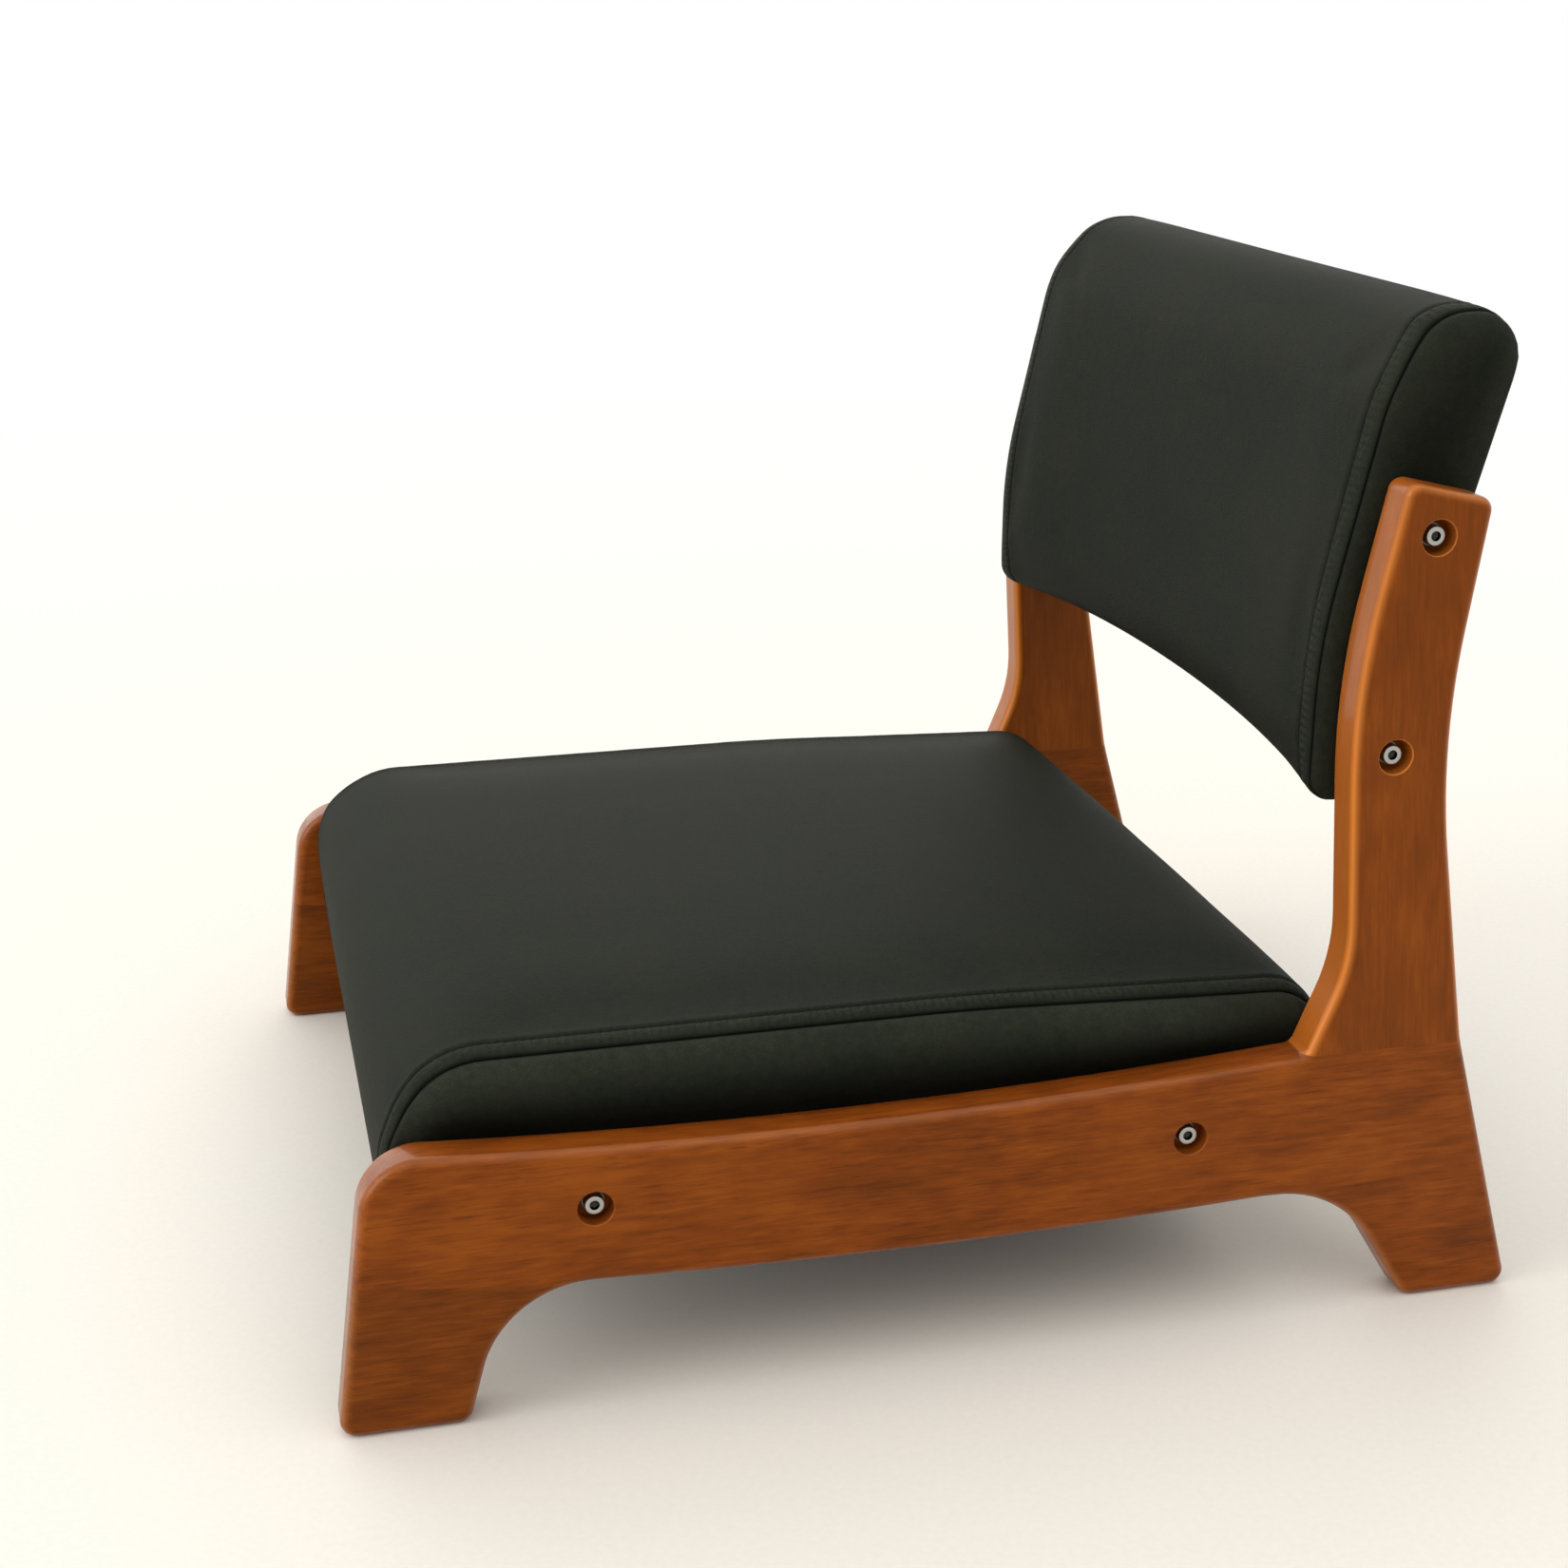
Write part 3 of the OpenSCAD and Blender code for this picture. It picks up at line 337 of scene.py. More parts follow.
def cut_pockets(board, centres):
    turns = full_turn(POCKET_SEGMENTS)
    for y, z in centres:
        cutter = closed_solid("cutter", [
            [(OUTER_X - depth, y + r * math.cos(a), z + r * math.sin(a)) for a in turns]
            for depth, r in POCKET
        ])
        cut = board.modifiers.new("pocket", "BOOLEAN")
        cut.operation, cut.object, cut.solver = "DIFFERENCE", cutter, "EXACT"
        apply_modifiers(board)
        bpy.data.objects.remove(cutter)


# %% Smooth faces between sharp edges
def smooth_shading(obj, sharp_deg):
    for face in obj.data.polygons:
        face.use_smooth = True
    obj.data.set_sharp_from_angle(angle=math.radians(sharp_deg))


def shade_board(board):
    smooth_shading(board, 32)
    weights = board.modifiers.new("flat faces", "WEIGHTED_NORMAL")
    weights.keep_sharp, weights.mode, weights.weight = True, "FACE_AREA", 60
    apply_modifiers(board)


def mirrored(obj, name):
    bm = bmesh.new()
    bm.from_mesh(obj.data)
    bmesh.ops.transform(bm, matrix=Matrix.Scale(-1, 4, (1, 0, 0)), verts=bm.verts)
    bmesh.ops.reverse_faces(bm, faces=bm.faces)
    return new_object(name, bm)


# %% Eight boards, the right four mirrored
boards = {}
for part, centres in (("rail", SEAT_BOLTS), ("front_foot", []), ("rear_foot", []), ("upright", BACK_BOLTS)):
    left = board_object(part, "board_left_" + part)
    cut_pockets(left, centres)
    right = mirrored(left, "board_right_" + part)
    boards["left_" + part], boards["right_" + part] = left, right
for node, board in boards.items():
    shade_board(board)
    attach(board, "root")
    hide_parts(node)
print("boards:", {node: len(b.data.polygons) for node, b in boards.items()})

# %% [markdown]
# ## Cushion paths
# A cushion is foam with a cover sewn round it: one long main panel, and a side panel at
# each end. Its seams follow a rounded path in the Y-Z plane. A subdivided box would spread
# its points evenly. Stations along a path can stand close together near the corners of the
# side panels, where the creases need fine rows.

# %% Easing, and shares of a length
def ease(t):
    t = np.clip(t, 0.0, 1.0)
    return t * t * (3 - 2 * t)


def graded(length, near, pitch, both=True):
    """Shares of a length, fine at both ends, or at its far end only."""
    low = list(near) if both else [0.0]
    middle = length - low[-1] - near[-1]
    count = max(1, round(middle / pitch))
    body = [low[-1] + middle * k / count for k in range(1, count)]
    return np.array(low + body + [length - d for d in reversed(near)]) / length


# %% Helpers for paths
def make_path(points, normals):
    steps = np.linalg.norm(np.diff(points, axis=0), axis=1)
    return points, normals, np.concatenate([[0.0], np.cumsum(steps)])


def walk(path, places):
    points, normals, lengths = path
    p = np.column_stack([np.interp(places, lengths, points[:, k]) for k in (0, 1)])
    n = np.column_stack([np.interp(places, lengths, normals[:, k]) for k in (0, 1)])
    return p, n / np.linalg.norm(n, axis=1, keepdims=True)


def nearest_place(path, corner):
    return path[2][np.argmin(np.linalg.norm(path[0] - np.array(corner), axis=1))]


def with_radii(corners, shares, closed):
    out, count = [], len(corners)
    for i, (y, z, r) in enumerate(corners):
        if closed or 0 < i < count - 1:
            r = fit_radius(corners[i - 1][:2], (y, z), corners[(i + 1) % count][:2], r, shares[i])
        out.append((y, z, r))
    return out


# %% The seat's path
PAD_GAP = 0.3
SKIN_X = INNER_X - PAD_GAP
PATH_STEP_DEG, PATH_SPAN = 0.5, 6.0
SEAT_FRONT, SEAT_REAR, SEAT_UNDER = TOE_Y + 26.0, HEEL_Y - 88.5, 72.0
SEAM_H, SEAM_FALL, FRONT_R, REAR_R = 150.2, 6.8, 44.0, 22.0
break_y = SEAT_FRONT + 0.61 * (SEAT_REAR - SEAT_FRONT)
seat_corners = with_radii([
    (SEAT_REAR, SEAT_UNDER, 0.0), (SEAT_REAR, SEAM_H - SEAM_FALL, REAR_R), (break_y, SEAM_H, 1200.0),
    (SEAT_FRONT, SEAM_H, FRONT_R), (SEAT_FRONT, SEAT_UNDER, 0.0),
], [0.8] * 5, closed=False)
seat_path = make_path(*rounded_outline(seat_corners, PATH_STEP_DEG, PATH_SPAN, closed=False))
print("the seat's seam in mm:", seat_path[2][-1].round(1))

# %% The back's path, closed
BACK_UNDER, BACK_TOP, BACK_T = 233.0, 440.4, 55.0
BACK_LEAN, REAR_LEAN, SHOULDER_H, BACK_SET = 12.8, 15.4, 28.0, 31.0
lumbar_z = waist[1] + 13.0
bend_front = (on_line(*BACK_BOLTS, lumbar_z) - BACK_SET, lumbar_z)
shoulder_z = BACK_TOP - SHOULDER_H
shoulder = (bend_front[0] + (shoulder_z - lumbar_z) * tan_deg(BACK_LEAN), shoulder_z)
bend_rear = (bend_front[0] + BACK_T, lumbar_z + 19.0)
back_corners = with_radii([
    (bend_front[0] - 0.7, BACK_UNDER, 12.0), (bend_rear[0] - 2.7, BACK_UNDER, 12.0), (*bend_rear, 250.0),
    (bend_rear[0] + (BACK_TOP - bend_rear[1]) * tan_deg(REAR_LEAN), BACK_TOP, 18.0),
    (shoulder[0] + SHOULDER_H * 0.775, BACK_TOP, 35.0), (*shoulder, 74.0), (*bend_front, 250.0),
], [0.48, 0.48, 0.48, 0.58, 0.4, 0.48, 0.48], closed=True)
outline, outward = rounded_outline(back_corners, PATH_STEP_DEG, PATH_SPAN)
begin = int(np.argmin(np.linalg.norm(outline - np.array(back_corners[0][:2]), axis=1)))
outline, outward = np.roll(outline, -begin, axis=0), np.roll(outward, -begin, axis=0)
back_path = make_path(np.vstack([outline, outline[:1]]), np.vstack([outward, outward[:1]]))
print("the back's seam in mm:", back_path[2][-1].round(1))

# %% [markdown]
# ## Cushion shapes
# The main panel is crowned, and the side panels meet it at the seams, drawn in between their
# corners. Sculpting could shape them too, but a formula can be read and changed. The
# functions give the place of any point of a panel, in millimetres.

# %% Values of the cushions' shapes
ring_top = (frame_normals[:, 1] > 0.3) & (frame_points[:, 1] > 80) & (frame_points[:, 0] < root[0] + 1)
rail_line = frame_points[ring_top][np.argsort(frame_points[ring_top][:, 0])]
seam_line = seat_path[0][1:-1][::-1]
# The full run starts from a slightly flatter shape, which the simulated air then fills.
SEAT_CROWN, SEAT_BULGE, BACK_CROWN = ((6.6, 7.0, 3.0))
SEAT_SEAM_X, SEAT_FLARE = 196.5, 10.2
BACK_SEAM_X, BACK_TAPER = 203.2, 7.0
SEAT_ROLL, BACK_ROLL, SHOULDER_PUFF, BACK_CURVE, TOP_CURVE = 1.7, 2.0, 4.5, 18.0, 3.0


# %% The seat's panels
def seat_seam_x(z):
    return SEAT_SEAM_X + SEAT_FLARE * ease((SEAM_H - 2 - z) / 26)


def seat_panel_point(p, n, edge, x, dist):
    """A point on the main panel: the path raised by the crown, and rolled down to the seam."""
    z = p[:, 1]
    lift = SEAT_CROWN * (0.25 + 0.75 * np.maximum(0, n[:, 1])) * (1 - np.abs(x / edge) ** 2.8)
    roll = SEAT_ROLL * (1 - (1 - np.minimum(1, dist / 13)) ** 2) * (1 - 0.7 * ease((dist - 13) / 100))
    q = p + n * ((lift + roll) * ease((z - SEAT_UNDER) / 40))[:, None]
    return np.column_stack([x, q[:, 0], np.maximum(q[:, 1], SEAT_UNDER)])


def seat_side_x(y, z):
    """How far out a side panel lies: flat beside the rail, drawn in and puffed above it."""
    low = np.interp(np.minimum(y, root[0]), rail_line[:, 0], rail_line[:, 1]) + PAD_GAP
    high = np.interp(y, seam_line[:, 0], seam_line[:, 1])
    rise = high - low
    h = np.where(rise > 14, np.clip((z - low) / np.maximum(rise, 1), 0, 1), 0)
    ways = [(high - z) / np.maximum(14, rise), (y - SEAT_FRONT) / 14, (SEAT_REAR - y) / 14]
    least = sum(np.maximum(w, 1e-4) ** -4.0 for w in ways) ** -0.25
    g = np.clip(1 - least, 0, 1)
    share = ease((y - SEAT_FRONT) / 50) * ease((root[0] - 3 - y) / 45)
    puff = SEAT_BULGE * share * 4 * h * (1 - h) * ease(h / 0.16)
    return SKIN_X + puff - (SKIN_X - seat_seam_x(z)) * g * g


# %% The back's panels
def back_seam_x(z):
    return BACK_SEAM_X - BACK_TAPER * ease((z - BACK_TOP + 30) / 30)


def back_panel_point(p, n, edge, x, dist):
    """The same on the back, which is curved across the chair, least along its top."""
    z, t = p[:, 1], x / edge
    rise = np.clip((z - lumbar_z) / (BACK_TOP - lumbar_z), 0, 1)
    lift = BACK_CROWN * (1 - np.abs(t) ** 2.4) * (0.2 + 0.8 * np.abs(n[:, 0]))
    roll = BACK_ROLL * (1 - (1 - np.minimum(1, dist / 15)) ** 2) * (1 - 0.75 * ease((dist - 15) / 90))
    lift = lift + roll * np.clip(0.35 - n[:, 0], 0, 1)
    q = p + n * lift[:, None] * ease((z - BACK_UNDER) / 30)[:, None]
    curve = BACK_CURVE - (BACK_CURVE - TOP_CURVE) * rise
    return np.column_stack([x, q[:, 0] + curve * (1 - t * t), q[:, 1]])


def back_side_x(y, z, dist):
    g = 1 - np.minimum(1, dist / 9)
    free = ease((z - top_front[1] - 4) / 26) * ease((dist - 3) / 16) * SHOULDER_PUFF
    return SKIN_X + free - (SKIN_X - back_seam_x(z)) * g * g


# %% Distance to a seam
def distance_to(path, y, z):
    pts = path[0]
    a, d = pts[:-1], np.diff(pts, axis=0)
    keep = (d ** 2).sum(axis=1) > 1e-9
    a, d = a[keep], d[keep]
    out = np.empty(len(y))
    for i, p in enumerate(np.column_stack([y, z])):
        t = np.clip(((p - a) * d).sum(axis=1) / (d ** 2).sum(axis=1), 0, 1)
        out[i] = np.sqrt((((a + d * t[:, None]) - p) ** 2).sum(axis=1).min())
    return out


# %% [markdown]
# ## Cushion grids
# The main panel is a grid of stations and columns. A side panel could be a sheet of its own,
# but where sheets only touch, they part as soon as one moves. Here it is a patch between
# four edges that shares the seam's points, so the skin is closed along its seams.

# %% Fine rows and columns beside the seams
NEAR = [0.0, 0.4, 0.9, 1.5, 2.3, 3.3, 4.6, 6.2, 8.0, 9.0, 9.6, 10.2, 11.2, 12.0, 12.8, 14.5, 17.5]
NEAR_ENDS = [0.0, 0.5, 1.1, 2.0, 3.2, 4.8, 7.0, 10.0]
NEAR_BAND = 20.0
MIDDLE_X = {"seat": 196.0, "back": 200.0}
FINE_PITCH, COARSE_PITCH = {"seat": 5.0, "back": 4.5}, 8.0


def patch(bottom, top, first, last, u, v):
    """A sheet of points between four edges."""
    u, v = u[None, :, None], v[:, None, None]
    ruled = (1 - v) * bottom[None] + v * top[None] + (1 - u) * first[:, None] + u * last[:, None]
    corners = (1 - v) * ((1 - u) * bottom[0] + u * bottom[-1]) + v * ((1 - u) * top[0] + u * top[-1])
    return ruled - corners


# %% Stations round a cushion, and columns across it
def stations_along(kind, path, corners, ends, pitch):
    """Shares of the side panel's edges, and the places along the path that they make."""
    length = path[2][-1]
    if kind == "seat":
        a, b = nearest_place(path, corners[1][:2]), nearest_place(path, corners[3][:2])
        v, u = graded(a, ends, pitch, both=False), graded(b - a, ends, pitch)
        return u, v, np.concatenate([a * v[:-1], a + (b - a) * u, b + (length - b) * (1 - v[::-1])[1:]])
    a, b, c = (nearest_place(path, corners[k][:2]) for k in (1, 3, 4))
    u, v = graded(a, ends, pitch), graded(b - a, ends, pitch)
    return u, v, np.concatenate([
        a * u[:-1], a + (b - a) * v[:-1], b + (c - b) * u[:-1], c + (length - c) * v[:-1]])


def columns_across(middle, near):
    """For each column: distance in from the seam, side, and share of the way to the seam."""
    away = middle - middle * graded(middle, near, COARSE_PITCH, both=False)[::-1]
    away = np.concatenate([away, away[::-1][1:]])
    way = np.sign(np.arange(len(away)) - (len(away) - 1) // 2)
    return away, way, np.where(away < NEAR_BAND, 0.0, (middle - away) / (middle - NEAR_BAND))


# %% The grid of a cushion
def cushion_grid(kind, fine):
    """The points of a cushion, each with its distance to the seam and its place along it."""
    seat = kind == "seat"
    path, corners = (seat_path, seat_corners) if seat else (back_path, back_corners)
    ends, near = (NEAR_ENDS, NEAR) if fine else ([0.0], [0.0])
    u, v, places = stations_along(kind, path, corners, ends, FINE_PITCH[kind] if fine else COARSE_PITCH)
    rows, cols, count = len(v) - 1, len(u) - 1, len(places)
    p, n = walk(path, places)
    edge = seat_seam_x(p[:, 1]) if seat else back_seam_x(p[:, 1])
    middle = MIDDLE_X[kind]
    away, way, inward = columns_across(middle, near)
    place_of = seat_panel_point if seat else back_panel_point
    coords, dists, alongs = [], [], []
    for off, sign, share in zip(away, way, inward):
        x = sign * (edge - off if off < NEAR_BAND else (edge - NEAR_BAND) * share)
        coords.append(place_of(p, n, edge, x, off))
        dists.append(np.full(count, off))
        alongs.append(places)
    main = np.arange(count * len(away)).reshape(len(away), count).T
    total, sides = main.size, {}
    k, m = np.arange(rows + 1), np.arange(cols + 1)
    for side, column in ((1, len(away) - 1), (-1, 0)):
        index = -np.ones((rows + 1, cols + 1), int)
        if seat:
            first, last, top = k, count - 1 - k, rows + m
            bottom = p[0] + (p[-1] - p[0]) * u[:, None]
        else:
            first, last, top = (2 * cols + 2 * rows - k) % count, cols + k, 2 * cols + rows - m
            bottom = p[m]
            index[0, m] = main[m, column]
        for line, stations in (((k, 0), first), ((k, cols), last), ((rows, m), top)):
            index[line] = main[stations, column]
        flat = patch(bottom, p[top], p[first], p[last], u, v)
        free = index < 0
        y, z = flat[..., 0][free], flat[..., 1][free]
        dist = distance_to(path, y, z)
        x = seat_side_x(y, z) if seat else back_side_x(y, z, dist)
        index[free] = total + np.arange(len(y))
        total += len(y)
        coords.append(np.column_stack([side * x, y, z]))
        dists.append(dist)
        alongs.append(np.zeros(len(y)))
        sides[side] = index
    return {
        "co": np.vstack(coords), "dist": np.concatenate(dists), "along": np.concatenate(alongs),
        "main": main, "sides": sides, "places": places, "columns": way * (middle - away) / middle,
        "u": u, "v": v, "loop": not seat, "length": path[2][-1],
    }


# %% Faces of a grid
def grid_faces(grid):
    faces = []
    main, count = grid["main"], len(grid["places"])
    for i in range(count if grid["loop"] else count - 1):
        a, b = main[i], main[(i + 1) % count]
        faces += [(a[j], a[j + 1], b[j + 1], b[j]) for j in range(len(a) - 1)]
    for index in grid["sides"].values():
        rows, cols = index.shape
        faces += [
            (index[r, c], index[r, c + 1], index[r + 1, c + 1], index[r + 1, c])
            for r in range(rows - 1) for c in range(cols - 1)
        ]
    return faces


def foot_loop(grid):
    main, left, right = grid["main"], grid["sides"][1], grid["sides"][-1]
    return list(main[0]) + list(left[0, 1:]) + list(main[-1][::-1][1:]) + list(right[0, ::-1][1:-1])


def skin_object(name, co, faces):
    bm = bmesh.new()
    verts = [bm.verts.new(Vector(point) * MM) for point in co]
    for face in faces:
        bm.faces.new([verts[k] for k in face])
    bmesh.ops.recalc_face_normals(bm, faces=bm.faces)
    return new_object(name, bm)


# %% Both grids
seat_grid, back_grid = cushion_grid("seat", True), cushion_grid("back", True)
print("grid points: seat", len(seat_grid["co"]), "back", len(back_grid["co"]))

# %% [markdown]
# ## Filling the cushions
# Foam pushes its cover out wherever nothing holds it. Cloth simulation does the same with
# air pressure, in a coarser copy of each cushion, held at its seams and between the boards.
# On the fine grid it would be slow and would wrinkle, so that grid only takes over the
# movement, smoothed and eased to a few millimetres.

# %% What holds the cloth
HELD_BELOW, HELD_BESIDE = 96.0, 205.5
FILL_CAP = {"seat": 2.6, "back": 2.2}


def in_place(kind, co, grid):
    """The points that the cloth holds: the seams, and what lies inside or beside the frame."""
    held = np.zeros(len(co), bool)
    held[grid["main"][:, [0, -1]]] = True
    if kind == "seat":
        return held | (co[:, 2] < HELD_BELOW)
    return held | (np.abs(co[:, 0]) > HELD_BESIDE) & (co[:, 2] < top_front[1] + 4)


# %% The simulation
def simulated(kind, grid, frames=18, pressure=4.0):
    co = grid["co"]
    faces = grid_faces(grid) + ([foot_loop(grid)] if kind == "seat" else [])
    obj = skin_object("air_" + kind, co, faces)
    group = obj.vertex_groups.new(name="held")
    group.add([int(k) for k in np.nonzero(in_place(kind, co, grid))[0]], 1.0, "REPLACE")
    cloth = obj.modifiers.new("cloth", "CLOTH")
    use = cloth.settings
    use.quality, use.mass, use.air_damping = 6, 0.35, 2.0
    use.tension_stiffness = use.compression_stiffness = 18.0
    use.shear_stiffness, use.bending_stiffness = 8.0, 2.0
    use.use_pressure, use.uniform_pressure_force = True, pressure
    use.effector_weights.gravity = 0.0
    use.vertex_group_mass = "held"
    cloth.point_cache.frame_start, cloth.point_cache.frame_end = 1, frames
    for frame_number in range(1, frames + 1):
        scene.frame_set(frame_number)
    shaped = obj.evaluated_get(bpy.context.evaluated_depsgraph_get()).data
    after = np.empty(3 * len(shaped.vertices))
    shaped.vertices.foreach_get("co", after)
    scene.frame_set(1)
    bpy.data.objects.remove(obj)
    return after.reshape(-1, 3) / MM - co


# %% Carrying the movement over to the fine grid
def smooth_fill(values, knots, where):
    """Values at knots along the first axis, carried smoothly to other places."""
    slope = np.gradient(values, knots, axis=0)
    i = np.clip(np.searchsorted(knots, where, side="right") - 1, 0, len(knots) - 2)
    h = (knots[i + 1] - knots[i])[:, None, None]
    t = (where - knots[i])[:, None, None] / h
    return ((2 * t ** 3 - 3 * t ** 2 + 1) * values[i] + (t ** 3 - 2 * t ** 2 + t) * h * slope[i]
            + (3 * t ** 2 - 2 * t ** 3) * values[i + 1] + (t ** 3 - t ** 2) * h * slope[i + 1])


def filled(kind, grid):
    """How the simulated air moves each point of the fine grid."""
    out, cap = np.zeros_like(grid["co"]), FILL_CAP[kind]
    coarse = cushion_grid(kind, False)
    moved = simulated(kind, coarse)
    size = np.linalg.norm(moved, axis=1, keepdims=True) + 1e-9
    print(kind, "moves in mm: up to", size.max().round(2), "and half of it over", np.median(size).round(2))
    moved *= cap * np.tanh(size / cap) / size * ease(coarse["dist"] / 42)[:, None]
    field, knots = moved[coarse["main"]], coarse["places"]
    if coarse["loop"]:
        field, knots = np.concatenate([field, field[:1]]), np.append(knots, coarse["length"])
    field = smooth_fill(field, knots, grid["places"])
    field = smooth_fill(field.swapaxes(0, 1), coarse["columns"], grid["columns"]).swapaxes(0, 1)
    for side, index in grid["sides"].items():
        part = smooth_fill(moved[coarse["sides"][side]], coarse["v"], grid["v"])
        out[index] = smooth_fill(part.swapaxes(0, 1), coarse["u"], grid["u"]).swapaxes(0, 1)
    out[grid["main"]] = field
    return out


moves = {"seat": filled("seat", seat_grid), "back": filled("back", back_grid)}
print("largest move after easing:", {k: round(float(np.abs(m).max()), 2) for k, m in moves.items()})

# %% [markdown]
# ## Seams, puffed bands and topstitch grooves
# The seam is a crisp crease. A topstitch runs beside it on the main panel, and the band
# between them puffs up a little. A bump map could darken such lines but not notch the
# outline, so both are real relief, added along the normals of the filled shape. The points
# also carry attributes beside the seams, which the cover material reads.

# %% Values of the seams
TOPSTITCH = {"seat": 9.6, "back": 12.0}
# The filling stands this much further forward at the sitter's right end of the back.
FULLER_END = 2.4
# Painted light and shade on a side panel, a factor on the cover's colour: at its seam,
# away from it, and how far in it changes.
SIDE_SHADE = {"seat": (1.75, 0.3, 12.0), "back": (1.15, 0.65, 14.0)}
LINING = 1.15
FOOT_HEIGHTS = (SEAT_UNDER, 96.0, 112.0, 118.0, 122.35)


def bell(x, middle, width):
    """A smooth bump of height 1 about its middle."""
    return np.exp(-(((x - middle) / width) ** 2))


# %% Relief beside the seams
def seam_relief(kind, grid):
    d, s, top = grid["dist"], grid["along"], TOPSTITCH[kind]
    on_main = np.arange(len(d)) < grid["main"].size
    wave = 0.5 * np.sin(s / 2.3 + 1.1) + 0.3 * np.sin(s / 4.7) + 0.4 * np.sin(s / 7.9 + 2.0)
    crease = 1.35 * bell(d, 0, 0.7) + 0.12 * bell(d, 0, 2.4)
    puff = 0.28 * bell(d, 0.5 * top, 0.3 * top) * (1 + 0.22 * wave)
    groove = 0.6 * bell(d, top, 0.85) - 0.2 * bell(d, top + 2.6, 1.6)
    relief = np.where(on_main, puff - groove, 0.56 * bell(d, 2.6, 1.9)) - crease
    if kind == "seat":
        relief *= ease((grid["co"][:, 2] - SEAT_UNDER - 3) / 8)
    return relief


# %% The seat's foot, which closes the skin below
def rounded_in(z, seam_z, r):
    """How far in a rounded front or rear lies at height z."""
    return r - math.sqrt(r ** 2 - max(0, z - seam_z + r) ** 2)


def inner_points(points, z):
    """Points of the seat's foot, moved in to just inside its cover at height z."""
    front = SEAT_FRONT + LINING + rounded_in(z, SEAM_H, FRONT_R)
    rear = SEAT_REAR - LINING - rounded_in(z, SEAM_H - SEAM_FALL, REAR_R)
    half = SKIN_X - 1.1
    x = np.clip(points[:, 0], -half, half)
    return np.column_stack([x, np.clip(points[:, 1], front, rear), np.full(len(x), z)])


# %% What the cover material reads
def seam_attributes(kind, grid):
    """What the cover material reads beside the seams, a value for each point of the grid."""
    d, top = grid["dist"], TOPSTITCH[kind]
    on_main = np.arange(len(d)) < grid["main"].size
    near, far, reach = SIDE_SHADE[kind]
    return {
        # Painted light and shade: lighter just below the seam and darker further down a side panel, and
        # lighter in a band on the main panel.
        "shade": np.where(on_main, 1 + 0.4 * bell(d, 5.6, 3.2), far + (near - far) * bell(d, 0, reach)),
        # Painted shade: near black in the seam and in the topstitch groove.
        "crease": np.maximum(bell(d, 0, 0.68), np.where(on_main, 0.6 * bell(d, top, 0.62), 0.0)),
        "along": grid["along"],
        "gathered": np.where(on_main, bell(d, 0.7 * top, 4.4), 0.0),
    }


# %% The back's far end
def fill_far_end(co):
    """Moves the front of the back's far end forward, by more towards the end."""
    end = co[co[:, 0] < -195]
    lean, base = np.polyfit(end[:, 2], end[:, 1], 1)
    in_front = ease((base + lean * co[:, 2] + 8 - co[:, 1]) / 24)
    co[:, 1] -= FULLER_END * in_front * ease((-co[:, 0] - 50) / 140)


# %% From a grid to a cushion
def cushion(kind, grid, name, nodes):
    co, faces = grid["co"] + moves[kind], grid_faces(grid)
    normals = np.empty(3 * len(co))
    plain = skin_object("plain", co, faces)
    plain.data.vertices.foreach_get("normal", normals)
    bpy.data.objects.remove(plain)
    co = co + normals.reshape(-1, 3) * seam_relief(kind, grid)[:, None]
    if kind == "back":
        fill_far_end(co)
    grid["skin"], grid["normals"] = co.copy(), normals.reshape(-1, 3)
    count = len(co)
    if kind == "seat":
        co[:, 2] = np.maximum(co[:, 2], SEAT_UNDER)
        loop = below = foot_loop(grid)
        size = len(loop)
        for z in FOOT_HEIGHTS:
            fresh = list(range(len(co), len(co) + size))
            co = np.vstack([co, inner_points(grid["co"][loop], z)])
            for i in range(size):
                j = (i + 1) % size
                faces.append((below[i], below[j], fresh[j], fresh[i]))
            below = fresh
        faces.append(below)
    obj = skin_object(name, co, faces)
    smooth_shading(obj, 75)
    for label, values in seam_attributes(kind, grid).items():
        data = obj.data.attributes.new(label, "FLOAT", "POINT").data
        data.foreach_set("value", np.concatenate([values, np.zeros(len(co) - count)]).astype(np.float32))
    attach(obj, "root")
    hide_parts(*nodes)
    return obj


# %% Both cushions
seat_nodes = ["seat_cover_top", "seat_cover_left_side", "seat_cover_right_side", "seat_foam"]
back_nodes = ["back_cover_wrap", "back_cover_left_side", "back_cover_right_side", "back_foam"]
seat_cushion = cushion("seat", seat_grid, "cushion_seat", seat_nodes)
back_cushion = cushion("back", back_grid, "cushion_back", back_nodes)
for piece in (seat_cushion, back_cushion):
    box = np.array([v.co[:] for v in piece.data.vertices]) / MM
    print(piece.name, len(piece.data.polygons), "faces, box", box.min(0).round(2), box.max(0).round(2))

# %% [markdown]
# ## Bolts, washers and topstitches
# Eight socket head bolts with washers hold the chair together, and two topstitches run
# round each cushion. Copies could be placed one by one, but Geometry Nodes keep the rule in
# view: a shape on every point, turned as the point says, or a stitch every so many
# millimetres along a line. Each tree ends in Realize Instances and Set Material, so that
# what comes out is a plain mesh.

# %% Nodes and trees
def set_inputs(tree, node, inputs):
    """Sets a node's inputs to values, or links them to sockets."""
    for key, value in inputs.items():
        if isinstance(value, bpy.types.NodeSocket):
            tree.links.new(value, node.inputs[key])
        else:
            node.inputs[key].default_value = value


def add(tree, kind, inputs=None, **settings):
    node = tree.nodes.new(kind)
    for key, value in settings.items():
        setattr(node, key, value)
    set_inputs(tree, node, inputs or {})
    return node


